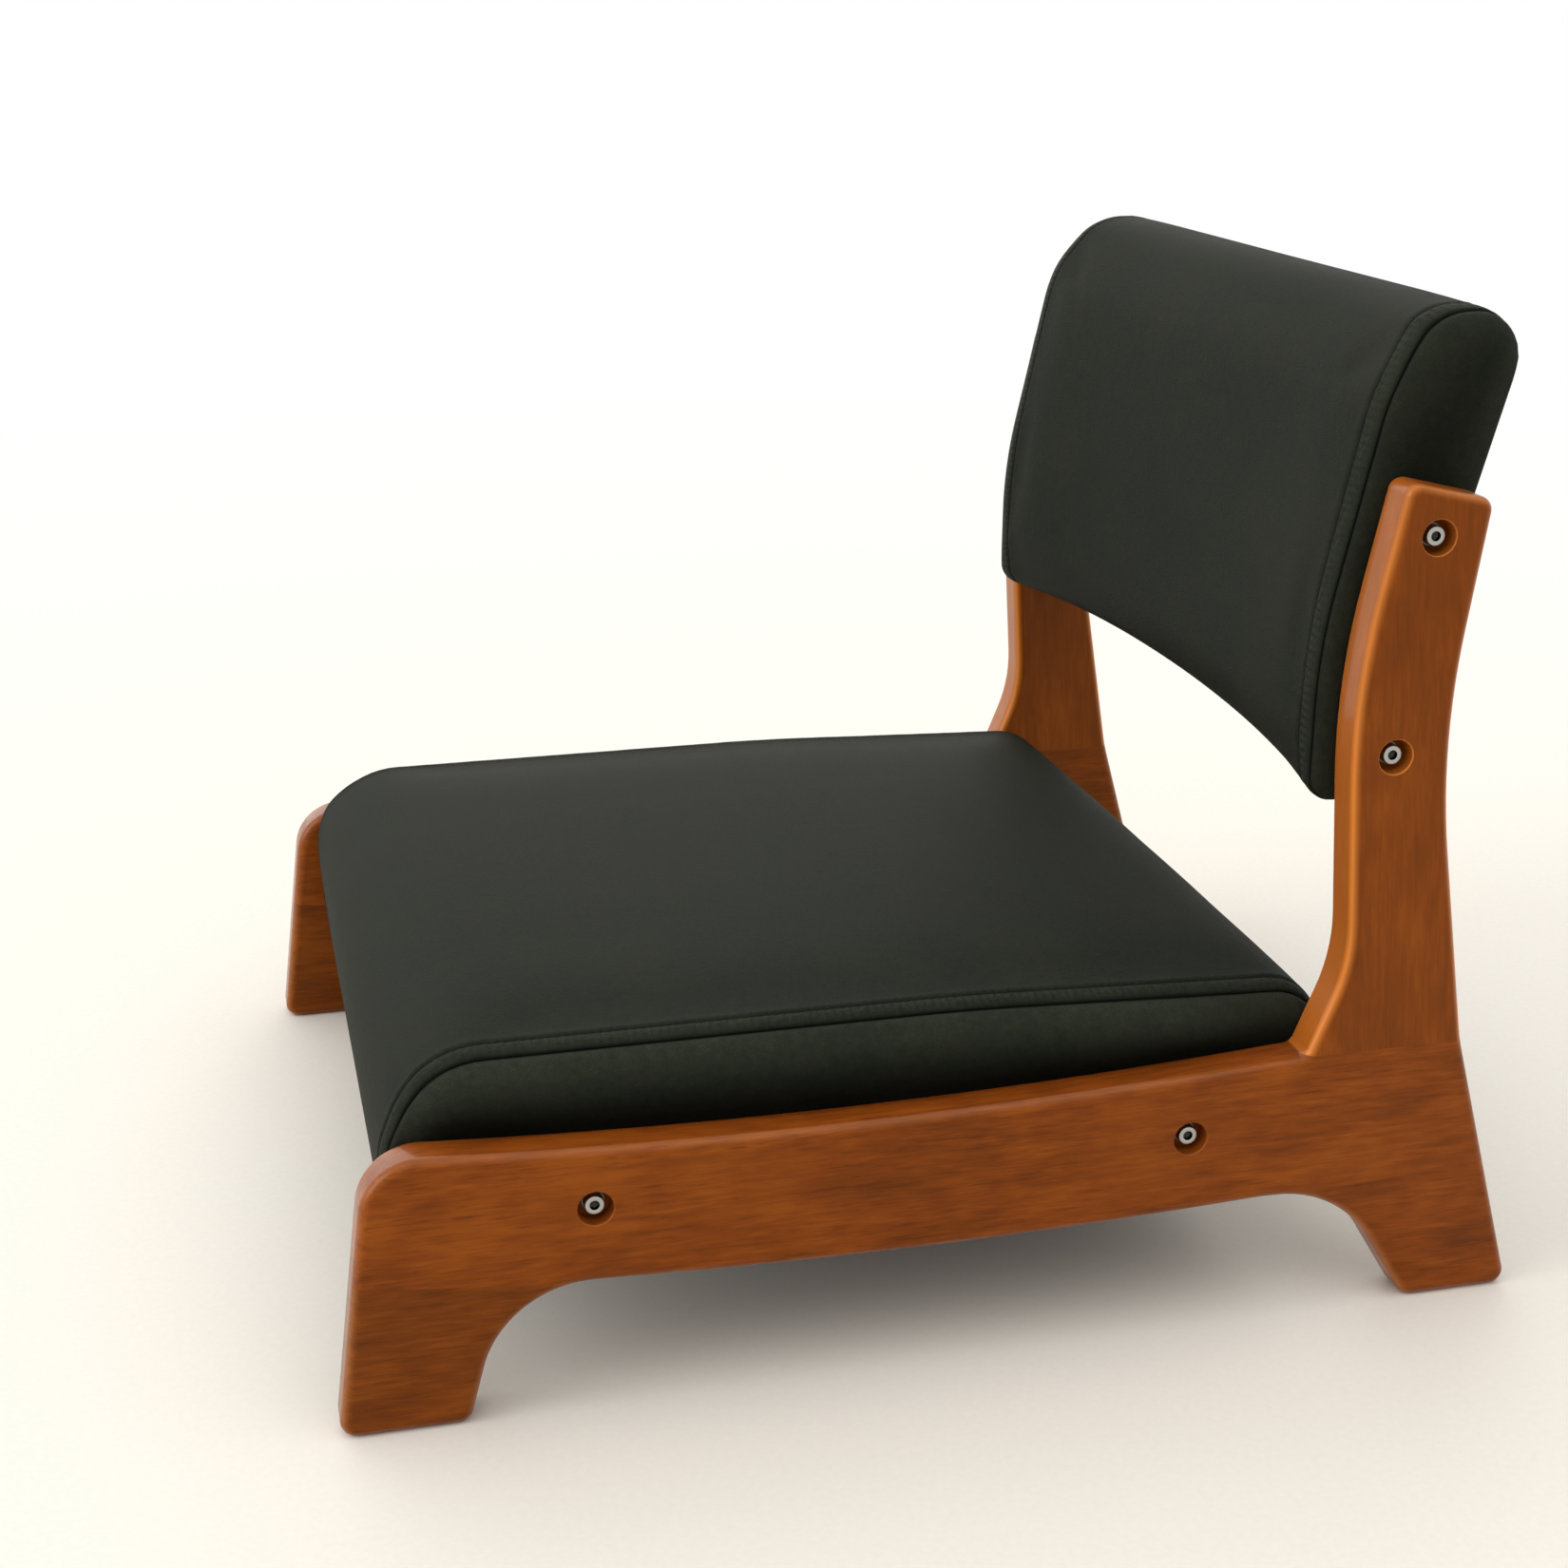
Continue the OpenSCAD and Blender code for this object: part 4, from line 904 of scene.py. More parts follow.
def geometry_tree(name, extra):
    tree = bpy.data.node_groups.new(name, "GeometryNodeTree")
    tree.interface.new_socket("Geometry", in_out="INPUT", socket_type="NodeSocketGeometry")
    for label, kind in extra:
        tree.interface.new_socket(label, in_out="INPUT", socket_type=kind)
    tree.interface.new_socket("Geometry", in_out="OUTPUT", socket_type="NodeSocketGeometry")
    return tree, tree.nodes.new("NodeGroupInput"), tree.nodes.new("NodeGroupOutput")


def finish_tree(tree, instances, source, output):
    real = add(tree, "GeometryNodeRealizeInstances", {"Geometry": instances})
    painted = add(tree, "GeometryNodeSetMaterial", {
        "Geometry": real.outputs[0], "Material": source.outputs["Material"]})
    tree.links.new(painted.outputs[0], output.inputs[0])


# %% A tree that places a shape on points
def placing_tree():
    tree, source, output = geometry_tree("place_on_points", [
        ("Shape", "NodeSocketObject"), ("Material", "NodeSocketMaterial")])
    shape = add(tree, "GeometryNodeObjectInfo", {"Object": source.outputs["Shape"]})
    turn = add(tree, "GeometryNodeInputNamedAttribute", {"Name": "turn"}, data_type="FLOAT_VECTOR")
    angle = add(tree, "FunctionNodeEulerToRotation", {0: turn.outputs["Attribute"]})
    placed = add(tree, "GeometryNodeInstanceOnPoints", {
        "Points": source.outputs["Geometry"], "Instance": shape.outputs["Geometry"],
        "Rotation": angle.outputs[0]})
    finish_tree(tree, placed.outputs[0], source, output)
    return tree


# %% A tree that lays stitches along lines
def stitch_tree():
    tree, source, output = geometry_tree("stitches_on_lines", [
        ("Pitch", "NodeSocketFloat"), ("Length", "NodeSocketFloat"), ("Width", "NodeSocketFloat"),
        ("Material", "NodeSocketMaterial")])
    line = add(tree, "GeometryNodeMeshToCurve", {0: source.outputs["Geometry"]})
    spots = add(tree, "GeometryNodeResampleCurve", {
        "Curve": line.outputs[0], "Length": source.outputs["Pitch"]}, mode="LENGTH")
    lift = add(tree, "GeometryNodeInputNamedAttribute", {"Name": "lift"}, data_type="FLOAT_VECTOR")
    tangent = add(tree, "GeometryNodeInputTangent").outputs[0]
    along = add(tree, "FunctionNodeAlignRotationToVector", {"Vector": tangent}, axis="X")
    facing = add(tree, "FunctionNodeAlignRotationToVector", {
        "Rotation": along.outputs[0], "Vector": lift.outputs["Attribute"]}, axis="Z", pivot_axis="X")
    bead = add(tree, "GeometryNodeMeshUVSphere", {"Segments": 8, "Rings": 6, "Radius": 0.5})
    width = source.outputs["Width"]
    size = add(tree, "ShaderNodeCombineXYZ", {"X": source.outputs["Length"], "Y": width, "Z": width})
    thread = add(tree, "GeometryNodeTransform", {"Geometry": bead.outputs[0], "Scale": size.outputs[0]})
    smooth = add(tree, "GeometryNodeSetShadeSmooth", {"Geometry": thread.outputs[0]})
    placed = add(tree, "GeometryNodeInstanceOnPoints", {
        "Points": spots.outputs[0], "Instance": smooth.outputs[0], "Rotation": facing.outputs[0]})
    finish_tree(tree, placed.outputs[0], source, output)
    return tree


# %% Running a tree
def run_tree(obj, tree, values):
    use = obj.modifiers.new("nodes", "NODES")
    use.node_group = tree
    for item in tree.interface.items_tree:
        if item.item_type == "SOCKET" and item.in_out == "INPUT" and item.name in values:
            use[item.identifier] = values[item.name]
    return apply_modifiers(obj)


# %% Turned shapes, with a hexagon where the socket is
SHARP_METAL = 34
LATHE_SEGMENTS = 48


def lathe(name, profile, hexagon=()):
    """A turned shape about X, closed at both ends. Rings named in hexagon are six-sided."""
    rings_mm = []
    for k, (x, r) in enumerate(profile):
        ring = []
        for a in full_turn(LATHE_SEGMENTS):
            reach = r / math.cos((a % (math.pi / 3)) - math.pi / 6) if k in hexagon else r
            ring.append((x, reach * math.cos(a), reach * math.sin(a)))
        rings_mm.append(ring)
    obj = closed_solid(name, rings_mm)
    smooth_shading(obj, SHARP_METAL)
    # The socket's rings and its bottom carry a painted shade, which darkens them in the material.
    painted_socket_shade = obj.data.attributes.new("painted_recess_shade", "FLOAT", "POINT")
    for k in (*hexagon, len(profile) - 1) if hexagon else ():
        for i in range(k * LATHE_SEGMENTS, (k + 1) * LATHE_SEGMENTS):
            painted_socket_shade.data[i].value = 1.0
    return obj


# %% Profiles of bolt and washer: distance from under the head, and radius
BOLT = [
    (-30, 1.7), (-29.3, 2.45), (-0.2, 2.45), (0, 2.7), (0, 4.1), (0.12, 4.25), (4.35, 4.25), (4.66, 4.17),
    (4.88, 3.98), (5.0, 3.7), (5.0, 2.45), (4.84, 2.12), (4.6, 2.0), (2.5, 2.0), (2.4, 1.9), (1.7, 0.3),
]
SOCKET_RINGS = (12, 13, 14)
WASHER = [(0, 2.65), (0, 4.85), (0.12, 5.0), (0.88, 5.0), (1.0, 4.85), (1.0, 2.75), (0.9, 2.65), (0, 2.65)]
# The washer's thickness, and how much painted shade it takes.
WASHER_T, WASHER_PAINTED_SHADE = 1.0, 0.8
STITCH_PITCH, STITCH_LENGTH, STITCH_WIDTH, STITCH_LIFT = 3.6, 2.7, 0.7, 0.05


def ring_lathe(name, profile):
    obj = lathe(name, profile)
    bm = bmesh.new()
    bm.from_mesh(obj.data)
    bmesh.ops.delete(bm, geom=[f for f in bm.faces if len(f.verts) > 4], context="FACES")
    bmesh.ops.remove_doubles(bm, verts=bm.verts, dist=1e-6)
    bmesh.ops.recalc_face_normals(bm, faces=bm.faces)
    bm.to_mesh(obj.data)
    bm.free()
    obj.data.set_sharp_from_angle(angle=math.radians(SHARP_METAL))
    # The whole washer carries the painted shade, a little less than the socket.
    for value in obj.data.attributes["painted_recess_shade"].data:
        value.value = WASHER_PAINTED_SHADE
    return obj


# %% Bolts and washers in their pockets
def points_object(name, points, attribute, values, edges=()):
    mesh = bpy.data.meshes.new(name)
    mesh.from_pydata([Vector(p) * MM for p in points], list(edges), [])
    data = mesh.attributes.new(attribute, "FLOAT_VECTOR", "POINT")
    data.data.foreach_set("vector", np.asarray(values, np.float32).ravel())
    obj = bpy.data.objects.new(name, mesh)
    scene.collection.objects.link(obj)
    return obj


HEAD_X = OUTER_X - POCKET_DEPTH + WASHER_T
bolt_shape, washer_shape = lathe("bolt_shape", BOLT, SOCKET_RINGS), ring_lathe("washer_shape", WASHER)
placing, stitching = placing_tree(), stitch_tree()
metal = bpy.data.materials.new("zinc_plated_steel")
thread_look = bpy.data.materials.new("cover_thread")
for name, shape, centres, x, node in (
    ("bolts_seat", bolt_shape, SEAT_BOLTS, HEAD_X, "seat_bolts"),
    ("bolts_back", bolt_shape, BACK_BOLTS, HEAD_X, "back_bolts"),
    ("washers", washer_shape, SEAT_BOLTS + BACK_BOLTS, HEAD_X - WASHER_T, "bolt_washers"),
):
    spots = [(side * x, y, z) for side in (1, -1) for y, z in centres]
    turns = [(rng.uniform(0, 1), 0, 0 if spot[0] > 0 else math.pi) for spot in spots]
    piece = points_object(name, spots, "turn", turns)
    run_tree(piece, placing, {"Shape": shape, "Material": metal})
    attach(piece, "root")
    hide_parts(node)
    print(name, len(piece.data.polygons), "faces")
for shape in (bolt_shape, washer_shape):
    bpy.data.objects.remove(shape)


# %% Topstitches
def stitch_line(kind, grid):
    """Points and normals of both topstitches, taken from the finished skin."""
    column = int(np.argmin(np.abs(grid["dist"][grid["main"][0, :len(NEAR)]] - TOPSTITCH[kind])))
    points, normals, edges = [], [], []
    for j in (column, grid["main"].shape[1] - 1 - column):
        ids = grid["main"][:, j]
        if kind == "seat":
            ids = ids[grid["skin"][ids, 2] > SEAT_UNDER + 2]
        first = len(points)
        points += list(grid["skin"][ids] + STITCH_LIFT * grid["normals"][ids])
        normals += list(grid["normals"][ids])
        edges += [(first + k, first + k + 1) for k in range(len(ids) - 1)]
        if grid["loop"]:
            edges.append((len(points) - 1, first))
    return points, normals, edges


for kind, grid in (("seat", seat_grid), ("back", back_grid)):
    points, normals, edges = stitch_line(kind, grid)
    piece = points_object("topstitch_" + kind, points, "lift", normals, edges)
    run_tree(piece, stitching, {
        "Pitch": STITCH_PITCH * MM, "Length": STITCH_LENGTH * MM, "Width": STITCH_WIDTH * MM,
        "Material": thread_look})
    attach(piece, "root")
    print(piece.name, len(piece.data.polygons), "faces")

# %% [markdown]
# ## Shader groups
# The grain of the boards and of the cover is used by several materials, so each is a node
# group, built once. Pictures would need a UV map and would show their edges. Noise on Object
# coordinates, in metres, runs through each piece at its real size. The groups give colours,
# masks and bump heights only, and each material keeps its own Principled shader.

# %% Helpers for shader trees
def shader_tree(name, inputs, outputs):
    tree = bpy.data.node_groups.new(name, "ShaderNodeTree")
    for label, kind, value in inputs:
        socket = tree.interface.new_socket(label, in_out="INPUT", socket_type="NodeSocket" + kind)
        socket.default_value = value
    for label, kind in outputs:
        tree.interface.new_socket(label, in_out="OUTPUT", socket_type="NodeSocket" + kind)
    return tree, tree.nodes.new("NodeGroupInput"), tree.nodes.new("NodeGroupOutput")


def math_node(tree, operation, a, b=0.0):
    return add(tree, "ShaderNodeMath", {0: a, 1: b}, operation=operation).outputs[0]


def times(tree, a, b):
    return math_node(tree, "MULTIPLY", a, b)


def weighted(tree, *terms):
    """The sum of sockets, each times its weight."""
    total = times(tree, *terms[0])
    for socket, weight in terms[1:]:
        total = math_node(tree, "ADD", total, times(tree, socket, weight))
    return total


def vector_node(tree, operation, a, b=(0, 0, 0), output="Vector"):
    return add(tree, "ShaderNodeVectorMath", {0: a, 1: b}, operation=operation).outputs[output]


# %% Helpers for patterns
def stretch_range(tree, value, low, high, new_low=0.0, new_high=1.0):
    return add(tree, "ShaderNodeMapRange", {
        "Value": value, "From Min": low, "From Max": high, "To Min": new_low, "To Max": new_high,
    }).outputs[0]


def mixed(tree, factor, a, b):
    return add(tree, "ShaderNodeMix", {0: factor, 6: a, 7: b}, data_type="RGBA").outputs[2]


def noise(tree, vector, scale, detail=3.0, rough=0.5, warp=0.0, output="Fac"):
    return add(tree, "ShaderNodeTexNoise", {
        "Vector": vector, "Scale": scale, "Detail": detail, "Roughness": rough, "Distortion": warp,
    }).outputs[output]


def object_place(tree):
    return add(tree, "ShaderNodeTexCoord").outputs["Object"]


def along_axis(tree, vector, axis):
    return add(tree, "ShaderNodeSeparateXYZ", {0: vector}).outputs[axis]


def facing_axis(tree, axis):
    """How squarely a face looks along an axis, either way."""
    normal = add(tree, "ShaderNodeNewGeometry").outputs["Normal"]
    return math_node(tree, "ABSOLUTE", along_axis(tree, normal, axis))


# %% The grain of the wood
# Each pattern: stretch along the board, scale, detail, roughness, distortion.
GRAIN = {
    "bands": (0.3, 26.0, 3.0, 0.5, 0.5), "streaks": (0.09, 330.0, 4.0, 0.62, 0.25),
    "fine": (0.06, 1000.0, 3.0, 0.6), "dashes": (0.07, 700.0, 2.0, 0.6),
    "clumps": (0.25, 90.0, 2.0, 0.5), "blotches": (0.45, 80.0, 3.0, 0.55),
}
TONE_WEIGHTS = {"bands": 0.42, "blotches": 0.34, "streaks": 0.40, "fine": 0.32}


def wood_group():
    """Grain along the Y axis of the turned coordinates: bands, streaks and fine pores."""
    tree, source, output = shader_tree("wood_grain", [
        ("Turn", "Float", 0.0), ("Offset", "Vector", (0, 0, 0)), ("Pores", "Float", 0.5),
        ("Dark", "Color", (0.1, 0.03, 0.01, 1)), ("Middle", "Color", (0.2, 0.06, 0.02, 1)),
        ("Light", "Color", (0.3, 0.1, 0.03, 1)),
    ], [("Color", "Color"), ("Height", "Float"), ("Tone", "Float")])
    given = source.outputs
    turned_place = add(tree, "ShaderNodeVectorRotate", {
        "Vector": object_place(tree), "Angle": given["Turn"]}, rotation_type="X_AXIS").outputs[0]
    moved = vector_node(tree, "ADD", turned_place, given["Offset"])
    wood = {}
    for label, (ratio, *look) in GRAIN.items():
        wood[label] = noise(tree, vector_node(tree, "MULTIPLY", moved, (1.0, ratio, 1.0)), *look)
    tone = weighted(tree, *((wood[label], weight) for label, weight in TONE_WEIGHTS.items()))
    tone = stretch_range(tree, tone, 0.58, 0.90)
    ramp = mixed(tree, stretch_range(tree, tone, 0.0, 0.5), given["Dark"], given["Middle"])
    ramp = mixed(tree, stretch_range(tree, tone, 0.5, 1.0), ramp, given["Light"])
    in_clumps = stretch_range(tree, wood["clumps"], 0.38, 0.60)
    pores = times(tree, stretch_range(tree, wood["dashes"], 0.57, 0.68), in_clumps)
    pores = times(tree, pores, given["Pores"])
    height = math_node(tree, "SUBTRACT", times(tree, wood["fine"], 0.35), pores)
    colour = mixed(tree, pores, ramp, given["Dark"])
    set_inputs(tree, output, {"Color": colour, "Height": height, "Tone": tone})
    return tree


# %% The grain of the cover
PEBBLE_WARP = (0.0012, 0.0012, 0.0012)
# The colour of the painted shade between the pebbles.
PEBBLE_GAP_PAINTED_SHADE = (0.0044, 0.0044, 0.0037, 1)


def leather_group():
    """Fine pebbled grain of coated cover material, with soft larger patches."""
    tree, source, output = shader_tree("cover_grain", [
        ("Pebble", "Float", 950.0), ("Base", "Color", (0.02, 0.02, 0.018, 1)),
        ("Worn", "Color", (0.03, 0.03, 0.027, 1)),
    ], [("Color", "Color"), ("Height", "Float"), ("Patches", "Float")])
    place = object_place(tree)
    shift = vector_node(tree, "MULTIPLY", noise(tree, place, 420.0, 2.0, output="Color"), PEBBLE_WARP)
    cells = add(tree, "ShaderNodeTexVoronoi", {
        "Vector": vector_node(tree, "ADD", place, shift), "Scale": source.outputs["Pebble"],
    }, feature="DISTANCE_TO_EDGE").outputs["Distance"]
    pebble = stretch_range(tree, cells, 0.0, 0.28)
    creases = noise(tree, place, 130.0, 4.0, 0.6, 0.8)
    patches = noise(tree, place, 14.0, 3.0, 0.55, 0.3)
    speckle = noise(tree, place, 270.0, 3.0, 0.6)
    mottle = weighted(tree, (patches, 0.4), (creases, 0.25), (speckle, 0.35))
    mottle = stretch_range(tree, mottle, 0.42, 0.58)
    colour = mixed(tree, mottle, source.outputs["Base"], source.outputs["Worn"])
    # The pebbles' edges are painted darker, a painted shade between them.
    painted_gap_shade = times(tree, math_node(tree, "SUBTRACT", 1.0, pebble), 0.35)
    height = weighted(tree, (pebble, 0.7), (creases, 0.8))
    set_inputs(tree, output, {
        "Color": mixed(tree, painted_gap_shade, colour, PEBBLE_GAP_PAINTED_SHADE), "Height": height, "Patches": mottle})
    return tree


# %% Both groups
wood_tree, leather_tree = wood_group(), leather_group()
print("shader groups:", wood_tree.name, leather_tree.name)

# %% [markdown]
# ## Stained wood
# The boards are stained with the grain showing, and their edges are painted lighter, a painted
# highlight. The normal tells where: most on the roundover, which has turned away from the
# board's face, less on the flat of the edge, and not at all on the face, and the painted
# highlight fades higher up. The coat is thicker there too, so that the roundover carries a
# line of light.

# %% Colours, materials and bump
def srgb(r, g, b):
    def linear(c):
        return c / 255 / 12.92 if c <= 10.3 else ((c / 255 + 0.055) / 1.055) ** 2.4

    return (linear(r), linear(g), linear(b), 1.0)


def start_material(material):
    """A cleared material, given by its name or itself, with its tree and its shader."""
    if isinstance(material, str):
        material = bpy.data.materials.new(material)
    material.use_nodes = True
    tree = material.node_tree
    tree.nodes.clear()
    shader = add(tree, "ShaderNodeBsdfPrincipled")
    add(tree, "ShaderNodeOutputMaterial", {"Surface": shader.outputs[0]})
    return material, tree, shader


def bump(tree, height, strength, distance):
    node = add(tree, "ShaderNodeBump", {"Height": height, "Strength": strength, "Distance": distance})
    return node.outputs[0]


# %% Edges painted lighter, a painted highlight
# How much lighter than the stain's light colour the painted highlight on the edges is.
PAINTED_HIGHLIGHT_GAIN = (2.7, 3.7, 7.0, 1.0)
EDGE_COAT = 0.40


def edge_and_painted_highlight_masks(tree):
    """Where a board has turned away from its face, and how much a painted highlight lightens it there."""
    side = facing_axis(tree, "X")
    edge = stretch_range(tree, side, 0.97, 0.6)
    painted_highlight = times(tree, edge, stretch_range(tree, side, 0.1, 0.6, 0.35, 1.0))
    # The painted highlight fades higher up the board.
    height = along_axis(tree, object_place(tree), "Z")
    return edge, times(tree, painted_highlight, stretch_range(tree, height, 0.25, 0.43, 1.0, 0.45))


# %% The wood material
def wood_material(name, turn, offset, stain, pores=0.6, rough=0.42, coat=0.07, painted_edge_highlight=0.0):
    material, tree, shader = start_material(name)
    dark, middle, light = stain
    grain = add(tree, "ShaderNodeGroup", {
        "Turn": turn, "Offset": offset, "Dark": dark, "Middle": middle, "Light": light, "Pores": pores,
    }, node_tree=wood_tree)
    colour = grain.outputs["Color"]
    # The edges are painted lighter, a painted highlight; the coat is thicker there as well.
    if painted_edge_highlight:
        edge, painted_highlight = edge_and_painted_highlight_masks(tree)
        painted_highlight_colour = tuple(c * k for c, k in zip(light, PAINTED_HIGHLIGHT_GAIN))
        colour = mixed(tree, times(tree, painted_highlight, painted_edge_highlight), colour, painted_highlight_colour)
        coat = stretch_range(tree, edge, 0.0, 1.0, coat, EDGE_COAT)
    set_inputs(tree, shader, {
        "Base Color": colour,
        "Roughness": stretch_range(tree, grain.outputs["Tone"], 0.0, 1.0, rough + 0.06, rough - 0.04),
        "Specular IOR Level": 0.235, "Specular Tint": (1.0, 0.6, 0.2, 1),
        "Coat Weight": coat, "Coat Roughness": 0.11,
        "Normal": bump(tree, grain.outputs["Height"], 0.25, 0.00012),
    })
    return material


# %% Four stains on eight boards
STAIN = (srgb(93, 42, 9), srgb(125, 58, 12), srgb(145, 73, 17))
DEEP_STAIN = (srgb(85, 39, 9), srgb(113, 53, 10), srgb(132, 67, 15))
FINE_STAIN = (srgb(108, 50, 8), srgb(123, 58, 10), srgb(140, 69, 14))
UPRIGHT_TURN = -math.pi / 2 - math.radians(4)
OTHER_SIDE = 3.1
# Each board: turn of the grain, its place in the pattern, stain, strength of the painted highlight on its
# edges.
board_looks = {
    "rail": (0.0, (0.3, 0.1, 0.7), STAIN, 0.10),
    "front_foot": (0.0, (1.9, 0.45, 2.6), DEEP_STAIN, 0.22),
    "rear_foot": (0.0, (2.2, 0.8, 0.35), STAIN, 0.22),
    "upright": (UPRIGHT_TURN, (0.9, 1.7, 1.45), FINE_STAIN, 0.85),
}
for node, board in boards.items():
    side, part = node.split("_", 1)
    turn, offset, stain, painted_edge_highlight = board_looks[part]
    offset = tuple(o + (0.0 if side == "left" else OTHER_SIDE) for o in offset)
    board.data.materials.clear()
    board.data.materials.append(wood_material("stained_" + node, turn, offset, stain, painted_edge_highlight=painted_edge_highlight))
print("stained boards:", len(boards))

# %% [markdown]
# ## Cover material, thread and plated steel
# The cushions carry attributes that follow their seams, and the cover reads them: crease
# paints the seam and the topstitch groove near black, a painted shade; shade is painted light
# and shade, a factor on the colour that lightens each side panel below its seam and darkens
# it further down, and lightens a band on the main panel; gathered and along make the small
# puckers between the stitches.

# %% The cover material
# The colour of the painted shade in the seam and the topstitch groove.
PAINTED_CREASE_SHADE = (0.0015, 0.0015, 0.0015, 1)


def attribute(tree, label):
    return add(tree, "ShaderNodeAttribute", attribute_name=label).outputs["Fac"]


def leather_material(name, base, worn, rough):
    material, tree, shader = start_material(name)
    grain = add(tree, "ShaderNodeGroup", {"Base": base, "Worn": worn}, node_tree=leather_tree)
    # The colour is scaled by painted light and shade beside the seams.
    shaded = add(tree, "ShaderNodeVectorMath", {
        0: grain.outputs["Color"], "Scale": attribute(tree, "shade")}, operation="SCALE").outputs[0]
    ripple = math_node(tree, "SINE", times(tree, attribute(tree, "along"), 2 * math.pi / STITCH_PITCH))
    uneven = noise(tree, object_place(tree), 330.0, 2.0)
    puckers = times(tree, weighted(tree, (ripple, 1.3), (uneven, 7.5)), attribute(tree, "gathered"))
    relief = math_node(tree, "ADD", grain.outputs["Height"], puckers)
    set_inputs(tree, shader, {
        # The seam and the topstitch groove are painted near black, a painted shade.
        "Base Color": mixed(tree, attribute(tree, "crease"), shaded, PAINTED_CREASE_SHADE),
        "Roughness": stretch_range(tree, grain.outputs["Patches"], 0, 1, rough, rough + 0.06),
        "Specular IOR Level": 0.038, "Specular Tint": (0.92, 1.0, 0.82, 1),
        "Normal": bump(tree, relief, 0.6, 0.0003),
    })
    return material


cover = leather_material("cover_leatherette", srgb(31, 34, 28), srgb(39, 42, 34), 0.58)
for piece in (seat_cushion, back_cushion):
    piece.data.materials.append(cover)

# %% The thread
_, tree, shader = start_material(thread_look)
twist = noise(tree, object_place(tree), 2600.0, 2.0)
set_inputs(tree, shader, {
    "Base Color": mixed(tree, twist, srgb(12, 13, 10), srgb(26, 27, 22)), "Roughness": 0.7,
    "Specular IOR Level": 0.07, "Normal": bump(tree, twist, 0.5, 0.0001),
})

# %% Plated steel
_, tree, shader = start_material(metal)
lapped = noise(tree, vector_node(tree, "MULTIPLY", object_place(tree), (1, 6, 6)), 300.0, 3.0)
plated = mixed(tree, lapped, srgb(148, 147, 143), srgb(192, 190, 185))
set_inputs(tree, shader, {
    # The sockets and the washers are painted darker, a painted shade in the pockets.
    "Base Color": mixed(tree, attribute(tree, "painted_recess_shade"), plated, srgb(56, 54, 49)), "Metallic": 1.0,
    "Roughness": stretch_range(tree, lapped, 0.3, 0.7, 0.26, 0.4),
    "Normal": bump(tree, lapped, 0.1, 0.0001),
})
print("materials:", [m.name for m in bpy.data.materials if m.users])

# %% [markdown]
# ## Looks of the inner parts
# The CAD solids inside the seat and back stay as they are. They hardly show, so a plain look
# is enough for each: pale softwood, plywood with its plies, felt and plated steel.

# %% Softwood and beech
PINE = (srgb(176, 132, 82), srgb(214, 176, 120), srgb(233, 204, 156))
BEECH = (srgb(170, 122, 78), srgb(203, 158, 112), srgb(222, 184, 140))
PLY = 0.0015
pine = wood_material("pine_batten", 0.0, (4.0, 0.2, 1.0), PINE, pores=0.15, rough=0.6, coat=0.0)
beech = wood_material("beech_dowel", 0.0, (5.0, 1.2, 2.0), BEECH, pores=0.35, rough=0.55, coat=0.0)

# %% Plywood, softwood with darker plies on its edges
plywood = wood_material("plywood", 0.0, (6.0, 2.2, 0.4), PINE, pores=0.2, rough=0.6, coat=0.0)
tree = plywood.node_tree
shader = next(n for n in tree.nodes if n.type == "BSDF_PRINCIPLED")
face_colour = shader.inputs["Base Color"].links[0].from_socket
plies = math_node(tree, "PINGPONG", along_axis(tree, object_place(tree), "Z"), PLY)
light_ply = math_node(tree, "SUBTRACT", 1.0, stretch_range(tree, plies, 0.0002, 0.0009))
on_edge = times(tree, stretch_range(tree, facing_axis(tree, "Z"), 0.6, 0.3), light_ply)
set_inputs(tree, shader, {
    "Base Color": mixed(tree, times(tree, on_edge, 0.6), face_colour, srgb(120, 80, 44))})

# %% Felt
felt, tree, shader = start_material("black_felt")
fibres = noise(tree, object_place(tree), 900.0, 5.0, 0.75, 1.5)
set_inputs(tree, shader, {
    "Base Color": mixed(tree, stretch_range(tree, fibres, 0.35, 0.65), srgb(22, 22, 23), srgb(52, 52, 54)),
    "Roughness": 0.95, "Normal": bump(tree, fibres, 0.6, 0.0004),
})

# %% Looks on the CAD solids
inner_looks = {
    "plywood": plywood, "felt": felt, "zinc_steel": metal, "batten_wood": pine, "frame_wood": beech,
}
given = []
for piece in bpy.data.objects:
    for slot in piece.material_slots:
        look = inner_looks.get(slot.material.name) if slot.material else None
        if look:
            slot.material = look
            given.append(piece.name)
print("carried-over solids with a look:", sorted(set(given)))

# %% [markdown]
# ## Camera
# The camera stands where the photograph was taken from, in front of the sitter's left. It
# could be aimed by eye. This lens and these axes come from fitting the side frames'
# outlines, so that render and photograph can be laid over each other.

# %% The camera
camera_data = bpy.data.cameras.new("camera")
camera = bpy.data.objects.new("camera", camera_data)
scene.collection.objects.link(camera)
camera_data.sensor_width = 36.0
camera_data.lens = 56.35
RIGHT_AXIS = (0.2369672, 0.9715149, -0.0023249)
UP_AXIS = (-0.3095955, 0.0777829, 0.9476816)
BACK_AXIS = (0.9208676, -0.2238497, 0.3192087)
place = Matrix((RIGHT_AXIS, UP_AXIS, BACK_AXIS)).transposed().to_4x4()
place.translation = (1.1176, -0.2923, 0.5776)
camera.matrix_world = place
scene.camera = camera
print("camera at", [round(v, 3) for v in place.translation])

